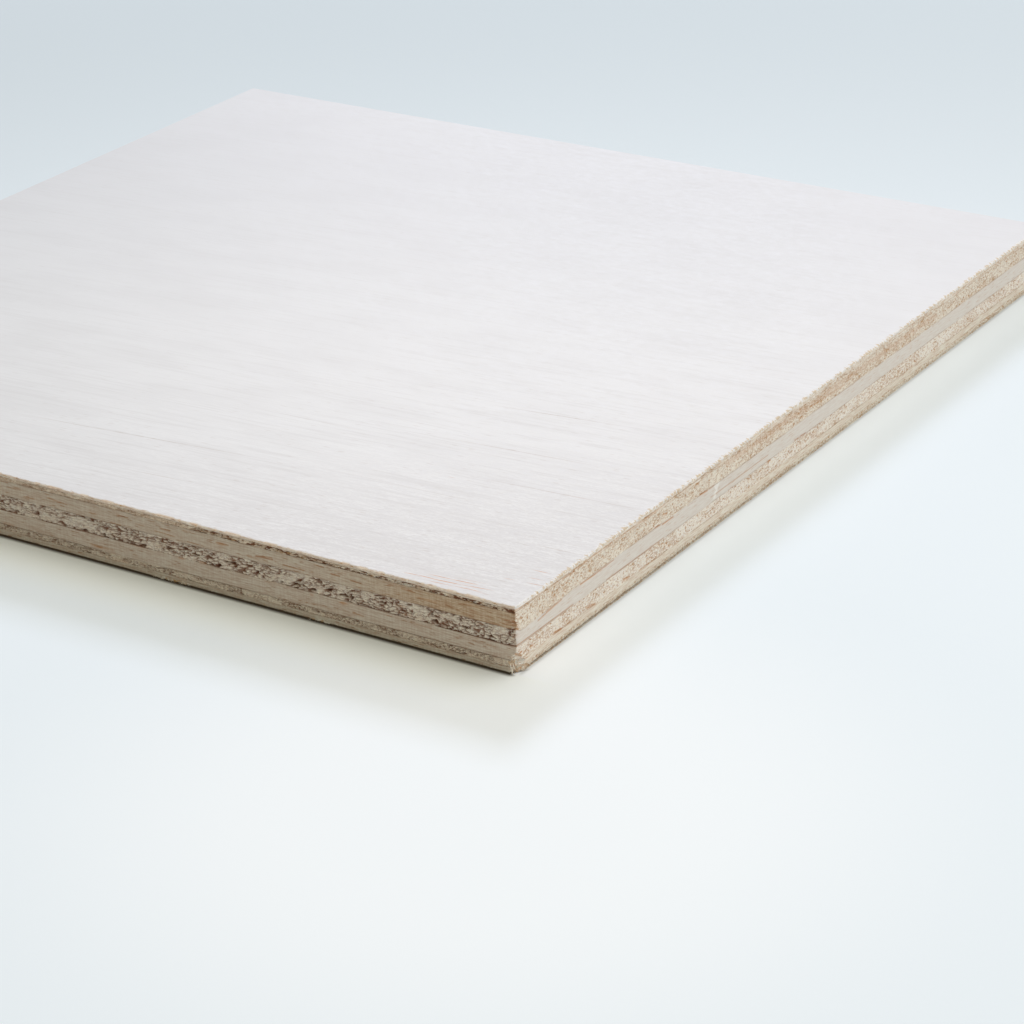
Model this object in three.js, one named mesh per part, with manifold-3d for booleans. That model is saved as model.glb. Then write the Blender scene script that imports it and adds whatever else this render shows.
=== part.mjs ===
// A square panel of seven-ply hardwood plywood, sawn on all four sides and lying flat.
// Millimetres. +Z is up and the back face lies on Z = 0. +X runs along the grain of the face veneer.
// Every veneer is a piece of its own, turned a quarter turn from its neighbours and pressed face to face.

import * as THREE from 'three';
import { ConvexGeometry } from 'three/addons/geometries/ConvexGeometry.js';
import { mergeVertices } from 'three/addons/utils/BufferGeometryUtils.js';
import Module from 'manifold-3d';

const wasm = await Module();
wasm.setup();

// Driving dimensions of the panel
const panelLength = 200; // along X
const panelWidth = 200; // along Y
const cornerRadius = 0.3; // plan corners, where two saw cuts meet
const faceArris = 0.25; // sanded edge round the face
const backArris = 0.45; // edge round the back, worn where the panel has been set down
const endGrainRecess = 0.15; // how far torn end grain stands behind the long grain beside it

// Thickness of each veneer, from the back up
const backThickness = 1.2;
const lowerCrossbandThickness = 1.2;
const lowerCoreThickness = 2.7;
const centreThickness = 2.9;
const upperCoreThickness = 2.8;
const upperCrossbandThickness = 0.7;
const faceThickness = 0.5;

// The centre crossband comes in two lengths that meet in a lap joint
const lapFromFront = 64.5; // from the front edge to the butt of the rear length
const lapOverlap = 18; // how far the tongue of the front length runs on below the rear one
const lapTongue = 1.05; // thickness of that tongue

// The lower corner at the right end of the front edge has broken away in two steps
const cornerBreaks = [
  { alongFront: 2.0, alongSide: 1.2, height: 2.6 },
  { alongFront: 0.8, alongSide: 0.6, height: 4.6 },
];

// Fibres torn out of the centre crossband's end grain on the front edge leave small hollows. Each has its
// distance from the broken corner, its height above the underside of that veneer, and its size.
const tornHollows = [
  { place: 15.5, height: 0.7, length: 1.0, tall: 0.6, depth: 0.6 },
  { place: 31.7, height: 0.9, length: 0.8, tall: 0.8, depth: 0.8 },
  { place: 42.6, height: 0.7, length: 1.5, tall: 0.5, depth: 0.8 },
  { place: 56.2, height: 1.4, length: 2.6, tall: 0.4, depth: 0.5 },
  { place: 63.2, height: 1.2, length: 1.7, tall: 0.5, depth: 0.7 },
  { place: 74.2, height: 0.5, length: 1.1, tall: 0.4, depth: 0.6 },
];

const wood = {
  face: 0xe3d8d2,
  crossband: 0xa98d6c,
  core: 0xcbb997,
  centre: 0xc9c2b6,
  back: 0xc8b691,
};

const layUp = [
  { name: 'back_veneer', grain: 'x', thickness: backThickness, colour: wood.back },
  { name: 'lower_crossband', grain: 'y', thickness: lowerCrossbandThickness, colour: wood.crossband },
  { name: 'lower_core', grain: 'x', thickness: lowerCoreThickness, colour: wood.core },
  { name: 'centre_crossband', grain: 'y', thickness: centreThickness, colour: wood.centre, lapped: true },
  { name: 'upper_core', grain: 'x', thickness: upperCoreThickness, colour: wood.core },
  { name: 'upper_crossband', grain: 'y', thickness: upperCrossbandThickness, colour: wood.crossband },
  { name: 'face_veneer', grain: 'x', thickness: faceThickness, colour: wood.face },
];
const panelThickness = layUp.reduce((sum, ply) => sum + ply.thickness, 0);
const clearOfPanel = 10; // how far cutting blocks reach past the panel
const breakClearance = 0.5; // how far the wedge of a break starts outside the corner
const cornerSteps = 5; // flats round a plan corner
const arrisSteps = 3; // flats across an arris
const grid = 0.0001; // positions are rounded to this

const toGrid = (values) => Float32Array.from(values, (value) => Math.round(value / grid) * grid);

// Closed three.js geometry to a manifold-3d solid, and back
function toSolid(geometry) {
  const bare = geometry.index ? geometry.toNonIndexed() : geometry;
  bare.deleteAttribute('normal');
  bare.deleteAttribute('uv');
  const merged = mergeVertices(bare, 1e-4);
  return new wasm.Manifold(new wasm.Mesh({
    numProp: 3,
    vertProperties: toGrid(merged.attributes.position.array),
    triVerts: new Uint32Array(merged.index.array),
  }));
}

// Positions are rounded to a small grid, so that veneers that touch share exactly one plane
function toGeometry(solid) {
  const { vertProperties, triVerts } = solid.getMesh();
  const geometry = new THREE.BufferGeometry();
  geometry.setAttribute('position', new THREE.BufferAttribute(toGrid(vertProperties), 3));
  geometry.setIndex(new THREE.BufferAttribute(new Uint32Array(triVerts), 1));
  const flat = geometry.toNonIndexed();
  flat.computeVertexNormals();
  return flat;
}

// A block between two corners
function block(low, high) {
  const size = high.map((value, axis) => value - low[axis]);
  const middle = high.map((value, axis) => (value + low[axis]) / 2);
  return toSolid(new THREE.BoxGeometry(...size).translate(...middle));
}

// The outline of the plan at one height, drawn in by an inset
function ring(inset, height) {
  const radius = Math.max(cornerRadius - inset, 0);
  const points = [];
  for (let corner = 0; corner < 4; corner += 1) {
    const middle = (corner + 0.5) * Math.PI / 2;
    const centreX = Math.sign(Math.cos(middle)) * (panelLength / 2 - inset - radius);
    const centreY = Math.sign(Math.sin(middle)) * (panelWidth / 2 - inset - radius);
    for (let step = 0; step <= cornerSteps; step += 1) {
      const turn = (corner + step / cornerSteps) * Math.PI / 2;
      points.push([centreX + radius * Math.cos(turn), centreY + radius * Math.sin(turn), height]);
    }
  }
  return points;
}

// The whole panel, hulled over rings that follow the quarter rounds of its two arrises
function panelBlank() {
  const rings = [];
  for (let step = 0; step <= arrisSteps; step += 1) {
    const inward = 1 - Math.cos((step / arrisSteps) * Math.PI / 2);
    const toWall = 1 - Math.sin((step / arrisSteps) * Math.PI / 2);
    rings.push(ring(backArris * inward, backArris * toWall));
    rings.push(ring(faceArris * inward, panelThickness - faceArris * toWall));
  }
  return wasm.Manifold.hull(rings.flat());
}

// One step of the broken corner: a wedge with one slanting face
function cornerWedge({ alongFront, alongSide, height }) {
  const corner = [panelLength / 2, -panelWidth / 2, 0];
  const reach = [-alongFront, alongSide, height];
  const apex = corner.map((value, axis) => value - Math.sign(reach[axis]) * breakClearance);
  const growth = 1 + breakClearance * reach.reduce((sum, length) => sum + 1 / Math.abs(length), 0);
  const ends = reach.map((length, axis) => {
    const end = [...apex];
    end[axis] += length * growth;
    return end;
  });
  return toSolid(new ConvexGeometry([apex, ...ends].map((point) => new THREE.Vector3(...point))));
}

// One hollow in the front end of a veneer whose grain runs along Y: half an ellipsoid
function tornHollow({ place, height, length, tall, depth }, bottom) {
  const ellipsoid = new THREE.SphereGeometry(1, 12, 8).scale(length / 2, depth, tall / 2);
  const frontEnd = -panelWidth / 2 + endGrainRecess;
  return toSolid(ellipsoid.translate(panelLength / 2 - place, frontEnd, bottom + height));
}

// One veneer cut out of the panel: full width across its grain, a little short along it
function veneer(panel, ply, bottom) {
  const alongX = ply.grain === 'x';
  const reachX = panelLength / 2 + (alongX ? -endGrainRecess : clearOfPanel);
  const reachY = panelWidth / 2 + (alongX ? clearOfPanel : -endGrainRecess);
  return panel.intersect(block([-reachX, -reachY, bottom], [reachX, reachY, bottom + ply.thickness]));
}

// The room that the front length takes in a lapped veneer: its full height up to the butt, then the tongue
function frontLength(bottom, top) {
  const reachX = panelLength / 2 + clearOfPanel;
  const start = -panelWidth / 2 - clearOfPanel;
  const butt = -panelWidth / 2 + lapFromFront;
  const fullHeight = block([-reachX, start, bottom - clearOfPanel], [reachX, butt, top + clearOfPanel]);
  const tongue = block(
    [-reachX, start, bottom - clearOfPanel],
    [reachX, butt + lapOverlap, bottom + lapTongue],
  );
  return fullHeight.add(tongue);
}

function addPiece(panel, name, solid, colour) {
  const material = new THREE.MeshStandardMaterial({ color: colour, roughness: 0.8, metalness: 0 });
  const mesh = new THREE.Mesh(toGeometry(solid), material);
  mesh.name = name;
  panel.add(mesh);
}

function plywoodPanel() {
  const panel = new THREE.Group();
  let cut = panelBlank();
  for (const cornerBreak of cornerBreaks) {
    cut = cut.subtract(cornerWedge(cornerBreak));
  }
  let bottom = 0;
  for (const ply of layUp) {
    const top = bottom + ply.thickness;
    const solid = veneer(cut, ply, bottom);
    if (ply.lapped) {
      const front = frontLength(bottom, top);
      const torn = wasm.Manifold.union(tornHollows.map((hollow) => tornHollow(hollow, bottom)));
      addPiece(panel, `${ply.name}_front`, solid.intersect(front).subtract(torn), ply.colour);
      addPiece(panel, `${ply.name}_rear`, solid.subtract(front), ply.colour);
    } else {
      addPiece(panel, ply.name, solid, ply.colour);
    }
    bottom = top;
  }
  return panel;
}

export default plywoodPanel();
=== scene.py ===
"""A square panel of seven-ply hardwood plywood on a pale studio floor.

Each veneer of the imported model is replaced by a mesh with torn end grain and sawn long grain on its
four edges. Lengths here are in millimetres until a mesh is made, which is in metres.
"""

import math
from itertools import product

import bpy
import numpy as np
from mathutils import Matrix, Vector


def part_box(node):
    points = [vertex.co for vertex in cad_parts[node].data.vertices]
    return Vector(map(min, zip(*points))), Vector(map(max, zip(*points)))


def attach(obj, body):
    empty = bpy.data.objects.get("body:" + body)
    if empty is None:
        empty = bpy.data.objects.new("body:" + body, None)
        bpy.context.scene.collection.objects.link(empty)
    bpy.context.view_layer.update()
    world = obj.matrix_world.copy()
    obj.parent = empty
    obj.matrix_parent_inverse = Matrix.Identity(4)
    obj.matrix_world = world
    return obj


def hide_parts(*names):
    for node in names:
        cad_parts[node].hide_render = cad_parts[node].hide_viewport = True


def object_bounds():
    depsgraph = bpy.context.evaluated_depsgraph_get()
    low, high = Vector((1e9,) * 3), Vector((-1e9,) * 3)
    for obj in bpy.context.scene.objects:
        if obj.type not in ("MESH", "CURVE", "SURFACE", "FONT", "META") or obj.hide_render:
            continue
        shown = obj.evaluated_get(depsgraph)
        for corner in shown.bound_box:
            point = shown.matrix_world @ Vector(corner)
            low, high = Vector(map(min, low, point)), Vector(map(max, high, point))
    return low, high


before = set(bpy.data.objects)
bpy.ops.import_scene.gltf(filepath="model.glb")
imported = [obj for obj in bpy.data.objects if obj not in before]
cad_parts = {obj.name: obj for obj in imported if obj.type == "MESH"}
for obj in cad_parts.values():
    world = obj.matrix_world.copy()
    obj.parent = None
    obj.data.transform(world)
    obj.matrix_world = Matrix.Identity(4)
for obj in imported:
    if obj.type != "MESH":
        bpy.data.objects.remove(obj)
cad_low, cad_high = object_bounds()

MM = 0.001
QUARTER_TURN = math.pi / 2

# ===== Sizes that the frame gives =====

HALF_X = cad_high[0] / MM
HALF_Y = cad_high[1] / MM
TOP = cad_high[2] / MM

# From the back up: each veneer, its slot and the axis that its grain runs along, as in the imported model
PLIES = (
    ("back_veneer", "back_veneer", "x"),
    ("lower_crossband", "crossband", "y"),
    ("lower_core", "core", "x"),
    ("centre_crossband", "centre", "y"),
    ("upper_core", "core", "x"),
    ("upper_crossband", "crossband", "y"),
    ("face_veneer", "face_veneer", "x"),
)
FACE = "face_veneer"
LAPPED = "centre_crossband"


def node_box(name):
    """A node's lowest and highest corners, in millimetres."""
    low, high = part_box(name)
    return np.array(low) / MM, np.array(high) / MM


def interfaces():
    """The heights of the faces between the veneers, with the underside and the top."""
    heights = [0.0]
    for name, _, _ in PLIES:
        node = f"{name}_front" if name == LAPPED else name
        heights.append(float(node_box(node)[1][2]))
    return heights


HEIGHTS = interfaces()
LAP_BUTT = node_box(f"{LAPPED}_rear")[0][1] + HALF_Y
LAP_END = node_box(f"{LAPPED}_front")[1][1] + HALF_Y
LAP_TONGUE = 1.05  # how thick the front length is where it runs on under the rear one

# ===== Repeatable noise, worked out on whole arrays =====


def scatter(i, j, seed):
    """A repeatable number from 0 to 1 for each pair of whole numbers."""
    n = i.astype(np.int64) * 374761393 + j.astype(np.int64) * 668265263 + seed * 362437
    n &= 0xFFFFFFFF
    n = ((n ^ (n >> 13)) * 1274126177) & 0xFFFFFFFF
    n = ((n ^ (n >> 16)) * 461845907) & 0xFFFFFFFF
    return ((n ^ (n >> 15)) & 0xFFFFFF) / 0xFFFFFF


def unit(value):
    """The value held between 0 and 1."""
    return np.clip(value, 0, 1)


def smooth(low, high, value):
    """0 below low, 1 above high, and a smooth step between."""
    t = unit((value - low) / (high - low))
    return t * t * (3 - 2 * t)


def bell(value, middle, half):
    """1 in the middle, falling to 0 about two half widths away."""
    return np.exp(-(((value - middle) / half) ** 2))


OCTAVE_SEED_STEP = 17
CELL_MARGIN = 0.1  # a cell's centre stays this far inside its unit square
FAR_AWAY = 9.0  # farther than any centre that is looked at


def noise(u, v, seed):
    """Smooth noise from 0 to 1 with features about one unit across."""
    i, j = np.floor(u), np.floor(v)
    a, b = smooth(0, 1, u - i), smooth(0, 1, v - j)
    low = scatter(i, j, seed) * (1 - a) + scatter(i + 1, j, seed) * a
    high = scatter(i, j + 1, seed) * (1 - a) + scatter(i + 1, j + 1, seed) * a
    return low * (1 - b) + high * b


def pattern(s, z, size, seed, octaves=3):
    """Noise with features of this size along each axis and finer noise on it, still from 0 to 1."""
    total, weight = 0.0, 0.0
    for octave in range(octaves):
        finer, share = 2**octave, 0.5**octave
        step = OCTAVE_SEED_STEP * octave
        total = total + share * noise(s / size[0] * finer, z / size[1] * finer, seed + step)
        weight += share
    return total / weight


def wobble(s, z, size, seed, reach):
    """Half of this reach to either side, to make an outline ragged."""
    return reach * (pattern(s, z, size, seed) - 0.5)


def cells(u, v, seed):
    """Irregular cells: distance to the nearest centre, gap to the next cell, and the cell's number."""
    i, j = np.floor(u), np.floor(v)
    first = second = np.full(np.shape(u), FAR_AWAY)
    chosen = np.zeros(np.shape(u))
    for di, dj in product((-1, 0, 1), repeat=2):
        ci, cj = i + di, j + dj
        x = ci + CELL_MARGIN + (1 - 2 * CELL_MARGIN) * scatter(ci, cj, seed) - u
        y = cj + CELL_MARGIN + (1 - 2 * CELL_MARGIN) * scatter(ci, cj, seed + 1) - v
        away = np.hypot(x, y)
        nearer = away < first
        second = np.where(nearer, first, np.minimum(second, away))
        chosen = np.where(nearer, scatter(ci, cj, seed + 2), chosen)
        first = np.where(nearer, away, first)
    return first, second - first, chosen


def stroke(s, z, start, end, width):
    """1 on the line between two points, falling to 0 about one width away."""
    (s0, z0), (s1, z1) = start, end
    length2 = (s1 - s0) ** 2 + (z1 - z0) ** 2
    along = unit(((s - s0) * (s1 - s0) + (z - z0) * (z1 - z0)) / length2)
    away2 = (s - s0 - along * (s1 - s0)) ** 2 + (z - z0 - along * (z1 - z0)) ** 2
    return np.exp(-away2 / width**2)


def spot(s, z, centre, radii):
    """1 at the centre of an ellipse, falling to 0 past its radii."""
    away2 = ((s - centre[0]) / radii[0]) ** 2 + ((z - centre[1]) / radii[1]) ** 2
    return np.exp(-(away2**2))


# ===== The perimeter: columns all round the panel, closest together at the near corner =====

SIDES = ("front", "right", "rear", "left")
ALONG = {"front": (1, 0), "right": (0, 1), "rear": (-1, 0), "left": (0, -1)}
OUTWARD = {"front": (0, -1), "right": (1, 0), "rear": (0, 1), "left": (-1, 0)}
CORNER_RADIUS = 0.25
CORNER_BLEND = 0.7  # within this of a corner a side's relief and outward direction turn into the next one's
FINE_STEP = 0.14  # between columns at the near corner
COARSE_STEP = 0.30  # between columns past FINE_REACH and on the sides that don't show
FINE_REACH = 110.0
ROW_STEP = 0.11  # between rows up a veneer
FINE_ROW_STEP = 0.07  # and up these
FINE_ROWED = ("back_veneer", "lower_crossband", "upper_crossband", FACE)


def steps_from_near_corner(length):
    """Distances along a side, with short steps near the corner that faces the camera."""
    places = [0.0]
    while places[-1] < length:
        far = smooth(0.0, 1.0, places[-1] / FINE_REACH)
        places.append(places[-1] + FINE_STEP + (COARSE_STEP - FINE_STEP) * float(far))
    return np.array(places[:-1]) * length / places[-1]


def side_places(name, length):
    """The columns of one side, by their distance from the start of that side."""
    if name == "front":
        t = np.sort(length - steps_from_near_corner(length))
        return np.concatenate(([0.0], t[:-1]))
    if name == "right":
        return steps_from_near_corner(length)
    return np.linspace(0, length, int(length / COARSE_STEP), endpoint=False)


def corner_turn(t, length, reach):
    """How far a side has turned towards the next one, from -45 to 45 degrees, near each of its ends."""
    turn = unit(1 - np.minimum(t, length - t) / reach) * QUARTER_TURN / 2
    return np.where(t < length / 2, -turn, turn)


def perimeter():
    """The columns of the whole loop, as arrays: base point, outward normal, side and distance."""
    columns = []
    for index, name in enumerate(SIDES):
        length, depth = (2 * HALF_X, HALF_Y) if name in ("front", "rear") else (2 * HALF_Y, HALF_X)
        t = side_places(name, length)
        from_end = np.minimum(t, length - t)
        turn = corner_turn(t, length, CORNER_RADIUS)
        swing = corner_turn(t, length, CORNER_BLEND)
        inset = CORNER_RADIUS * (1 - np.cos(turn))
        bend = CORNER_RADIUS * np.sin(np.abs(turn))
        placed = np.where(from_end < CORNER_RADIUS, CORNER_RADIUS - bend, from_end)
        placed = np.where(t < length / 2, placed, length - placed)
        (ax, ay), (ox, oy) = ALONG[name], OUTWARD[name]
        columns.append((
            ax * (placed - length / 2) + ox * (depth - inset),
            ay * (placed - length / 2) + oy * (depth - inset),
            ox * np.cos(swing) + ax * np.sin(swing),
            oy * np.cos(swing) + ay * np.sin(swing),
            np.full(len(t), index),
            length - t if name == "front" else t,
            1 - smooth(0, CORNER_BLEND, from_end),
        ))
    return [np.concatenate(part) for part in zip(*columns)]


LOOP_X, LOOP_Y, LOOP_NX, LOOP_NY, LOOP_SIDE, LOOP_S, LOOP_CORNER = perimeter()
COLUMNS = len(LOOP_X)
ON = {name: LOOP_SIDE == number for number, name in enumerate(SIDES)}


def per_side(table):
    """A value for each side, spread over the columns of the loop."""
    return np.array([table[side] for side in SIDES])[LOOP_SIDE]


WAVE = 0.09  # how far the veneers' faces wander up and down
WAVE_LENGTH = 17.0
WAVE_SEED = 40
DIP = 0.55  # the face over the centre crossband sinks this far beside the near corner, on the right edge
DIP_STARTS = (0.0, 1.5)
DIP_ENDS = (3.0, 22.0)


def interface(index):
    """The height all round the loop of one face between two veneers."""
    level = np.full(COLUMNS, HEIGHTS[index])
    if 0 < index < len(PLIES):
        level += WAVE * (2 * pattern(LOOP_X, LOOP_Y, (WAVE_LENGTH, WAVE_LENGTH), WAVE_SEED + index) - 1)
    if index > 0 and PLIES[index - 1][0] == LAPPED:
        level -= DIP * ON["right"] * smooth(*DIP_STARTS, LOOP_S) * (1 - smooth(*DIP_ENDS, LOOP_S))
    return level


# ===== Relief of the sawn edges =====

# The tables for one edge give distances from the near corner and heights above the underside.

# Streaks in the long grain of the front edge: both ends, half width and strength
FRONT_STREAKS = (
    ((0.5, 2.15), (1.7, 2.30), 0.13, 1.0),
    ((0.0, 9.45), (2.6, 9.25), 0.10, 1.0),
    ((0.2, 8.75), (3.0, 8.70), 0.08, 0.8),
    ((7.0, 10.35), (9.8, 10.30), 0.08, 0.7),
    ((19.0, 10.05), (21.6, 10.10), 0.09, 0.7),
    ((29.5, 9.10), (31.6, 9.20), 0.11, 1.0),
    ((33.7, 9.42), (35.4, 9.45), 0.11, 0.9),
    ((32.4, 10.15), (34.6, 10.20), 0.10, 0.5),
    ((36.8, 10.25), (38.6, 10.30), 0.10, 0.9),
    ((40.7, 8.75), (45.0, 8.80), 0.09, 1.0),
    ((47.2, 9.20), (50.6, 9.10), 0.15, 1.0),
    ((47.2, 9.55), (49.4, 9.35), 0.10, 0.9),
    ((50.2, 8.60), (52.4, 8.75), 0.12, 0.6),
    ((56.2, 9.72), (58.6, 9.68), 0.16, 0.7),
    ((62.4, 8.35), (64.8, 8.42), 0.09, 0.8),
    ((63.9, 10.35), (65.6, 10.25), 0.10, 0.7),
    ((68.3, 9.60), (70.3, 9.55), 0.13, 0.8),
    ((67.4, 8.75), (71.6, 8.85), 0.09, 0.6),
    ((73.8, 9.20), (75.6, 9.25), 0.10, 0.5),
    ((77.2, 9.90), (79.4, 9.95), 0.12, 0.9),
    ((79.0, 8.15), (81.2, 8.25), 0.16, 0.6),
    ((84.0, 9.00), (85.6, 9.05), 0.12, 0.6),
    ((90.5, 9.40), (94.6, 9.75), 0.14, 0.6),
    ((97.8, 8.80), (100.2, 8.75), 0.10, 0.6),
    ((101.0, 10.05), (102.4, 10.10), 0.12, 0.6),
    ((3.9, 4.10), (5.6, 4.15), 0.09, 0.5),
    ((7.2, 4.75), (8.9, 4.80), 0.07, 0.5),
    ((16.0, 4.40), (19.2, 4.45), 0.08, 0.4),
    ((29.4, 3.30), (31.4, 3.40), 0.15, 0.6),
    ((34.0, 3.00), (42.4, 3.05), 0.07, 0.4),
    ((81.0, 3.05), (86.0, 3.10), 0.18, 0.5),
)

# Holes torn in the end grain of the centre crossband on the front edge: middle, half size and depth
FRONT_VOIDS = (
    ((1.4, 7.10), (0.25, 0.35), 0.5),
    ((4.9, 5.75), (0.45, 0.20), 0.5),
    ((9.6, 6.15), (0.70, 0.14), 0.5),
    ((10.6, 7.25), (0.30, 0.20), 0.5),
    ((15.5, 5.80), (0.50, 0.34), 0.8),
    ((16.0, 6.95), (0.25, 0.40), 0.6),
    ((20.6, 7.45), (0.70, 0.12), 0.5),
    ((25.6, 6.60), (0.60, 0.22), 0.7),
    ((31.7, 6.05), (0.30, 0.45), 1.0),
    ((33.2, 6.05), (1.00, 0.16), 0.7),
    ((36.0, 6.35), (0.70, 0.14), 0.6),
    ((38.2, 7.70), (0.60, 0.12), 0.6),
    ((39.4, 5.60), (0.45, 0.20), 0.8),
    ((42.6, 5.75), (0.75, 0.20), 1.0),
    ((41.2, 5.95), (0.40, 0.14), 0.6),
    ((45.6, 5.45), (0.30, 0.24), 0.7),
    ((50.5, 6.00), (0.40, 0.26), 0.8),
    ((56.2, 6.55), (1.60, 0.12), 0.6),
    ((58.5, 5.50), (0.50, 0.22), 0.8),
    ((63.2, 6.30), (0.85, 0.20), 0.8),
    ((65.6, 6.85), (0.50, 0.30), 0.6),
    ((69.0, 6.20), (0.55, 0.18), 0.6),
    ((74.2, 5.50), (0.50, 0.16), 0.8),
    ((77.4, 5.55), (0.50, 0.16), 0.6),
    ((83.0, 5.50), (0.40, 0.18), 0.8),
    ((87.2, 5.35), (0.60, 0.14), 0.7),
    ((91.3, 7.65), (0.60, 0.14), 0.6),
    ((97.5, 6.30), (0.30, 0.30), 0.5),
    ((102.2, 5.55), (0.40, 0.20), 0.6),
)

# Glue squeezed out along the right edge: both ends, half width and strength
RIGHT_GLUE = (
    ((0.1, 3.40), (1.6, 3.62), 0.20, 1.0),
    ((4.0, 3.46), (4.9, 3.32), 0.16, 0.8),
    ((0.8, 3.08), (1.5, 2.96), 0.18, 0.8),
    ((1.0, 2.35), (3.2, 1.95), 0.12, 0.5),
    ((0.6, 11.42), (8.2, 11.36), 0.07, 0.7),
    ((14.0, 11.05), (17.6, 10.90), 0.12, 0.7),
    ((17.0, 11.15), (26.0, 11.12), 0.10, 0.6),
    ((26.5, 11.15), (37.0, 11.10), 0.07, 0.6),
    ((38.0, 11.10), (46.5, 11.05), 0.14, 0.5),
    ((6.5, 6.95), (13.6, 7.62), 0.12, 0.8),
    ((9.0, 7.35), (12.2, 7.55), 0.16, 0.7),
    ((19.3, 7.82), (24.2, 7.74), 0.12, 1.0),
    ((24.2, 7.80), (29.8, 7.84), 0.09, 0.9),
    ((12.6, 2.52), (18.0, 2.44), 0.08, 0.4),
    ((11.2, 2.70), (13.4, 2.48), 0.20, 0.9),
    ((21.5, 2.75), (23.8, 2.45), 0.26, 0.6),
    ((27.4, 5.20), (46.0, 5.18), 0.08, 0.8),
    ((0.2, 5.28), (17.0, 5.24), 0.08, 1.0),
    ((32.8, 2.95), (34.6, 2.75), 0.20, 0.9),
    ((38.0, 2.50), (43.5, 2.48), 0.10, 0.6),
    ((43.2, 8.10), (44.9, 7.95), 0.12, 0.8),
    ((45.6, 7.78), (49.2, 7.76), 0.14, 0.9),
    ((46.0, 9.50), (47.2, 9.20), 0.16, 0.8),
    ((57.0, 10.60), (58.0, 10.45), 0.16, 0.8),
    ((58.3, 8.15), (60.9, 7.95), 0.15, 0.9),
    ((61.6, 7.96), (63.2, 7.98), 0.12, 0.6),
    ((62.0, 6.20), (82.5, 6.24), 0.08, 0.8),
    ((82.4, 5.00), (83.6, 4.86), 0.17, 0.9),
    ((92.6, 5.22), (94.0, 5.18), 0.15, 0.8),
    ((94.9, 5.22), (96.6, 5.12), 0.17, 0.8),
    ((86.0, 10.50), (89.2, 10.30), 0.16, 0.6),
    ((90.5, 10.00), (96.5, 9.90), 0.15, 0.5),
    ((98.5, 9.60), (112.0, 9.00), 0.20, 0.5),
    ((68.0, 10.30), (150.0, 9.60), 0.60, 0.30),
)

# The pale splinter over the butt of the lap joint: its ends and its half width
CHIP = ((63.4, 6.10), (64.7, 9.05), 0.55)
# Between these distances from the near corner the upper core's orange-tan fades away, and most of the
# upper crossband's torn look
WARM_ENDS = (12.0, 38.0)
TORN_ENDS = (60.0, 65.0)

# Orange patches on the front edge: middle, half size and strength
FRONT_PATCHES = (
    ((22.4, 6.90), (0.9, 0.22), 0.7),
    ((19.6, 5.60), (2.6, 0.30), 0.3),
    ((16.5, 9.35), (2.4, 0.22), 0.5),
    ((33.2, 4.72), (0.95, 0.30), 0.8),
    ((39.6, 4.75), (0.50, 0.34), 0.5),
    ((57.7, 9.60), (0.9, 0.22), 0.5),
    ((61.8, 5.20), (0.8, 0.18), 0.9),
    ((66.3, 4.95), (0.8, 0.20), 0.5),
    ((75.2, 5.15), (1.0, 0.24), 0.7),
    ((84.3, 2.90), (1.4, 0.22), 0.5),
    ((104.2, 2.65), (1.2, 0.25), 0.5),
)


# The crevice mark darkens cracks, pores and holes: partly the wood's darker colour there, partly painted
# shade
LAYERS = ("depth", "crevice", "stain", "pale")  # the relief of an edge in millimetres, and marks from 0 to 1


def strokes(s, z, lines):
    """The strongest of these lines at a place."""
    total = np.zeros(np.shape(s))
    for start, end, width, strength in lines:
        total = np.maximum(total, strength * stroke(s, z, start, end, width))
    return total


def near_middle(value, width):
    """1 where a noise value crosses its middle, so that the noise draws thin winding lines."""
    return smooth(width, 0.2 * width, np.abs(value - 0.5))


def long_grain(s, z, seed):
    """Sawn along the grain: nearly flat, with fine lines and a few torn dashes."""
    lines = pattern(s, z, (5.0, 0.17), seed)
    ribs = noise(s / 0.35, z / 6.0, seed + 5)
    first, _, chosen = cells(s / 1.9, z / 0.22, seed + 9)
    dash = (chosen > 0.89) * smooth(0.36, 0.14, first)
    depth = 0.02 + 0.045 * lines + 0.015 * ribs + 0.06 * dash
    return {"depth": depth, "crevice": 0.36 * dash, "stain": 0.60 * dash, "pale": 0 * s}


def fine_end_grain(s, z, seed):
    """Sawn across the grain: small pale bundles of fibre with open pores between them."""
    u = s + wobble(s, z, (0.9, 0.7), seed + 3, 0.45)
    v = z + wobble(s, z, (0.8, 0.8), seed + 5, 0.45) + 0.10 * s
    first, gap, chosen = cells(u / 0.72, v / 0.40, seed)
    patch = smooth(0.36, 0.62, pattern(s, z, (3.0, 1.2), seed + 7))
    seam = smooth(0.24, 0.03, gap) * (0.25 + 0.75 * patch)
    pore = (chosen > 0.86) * smooth(0.50, 0.20, first) * (0.4 + 0.6 * patch)
    rough = pattern(s, z, (0.34, 0.24), seed + 11)
    return {
        "depth": 0.03 + 0.09 * seam + 0.10 * pore + 0.07 * (1 - rough),
        "crevice": 0.55 * seam + 0.75 * pore,
        "stain": 0.35 * seam,
        "pale": smooth(0.48, 0.72, rough) * (1 - seam),
    }


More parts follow.
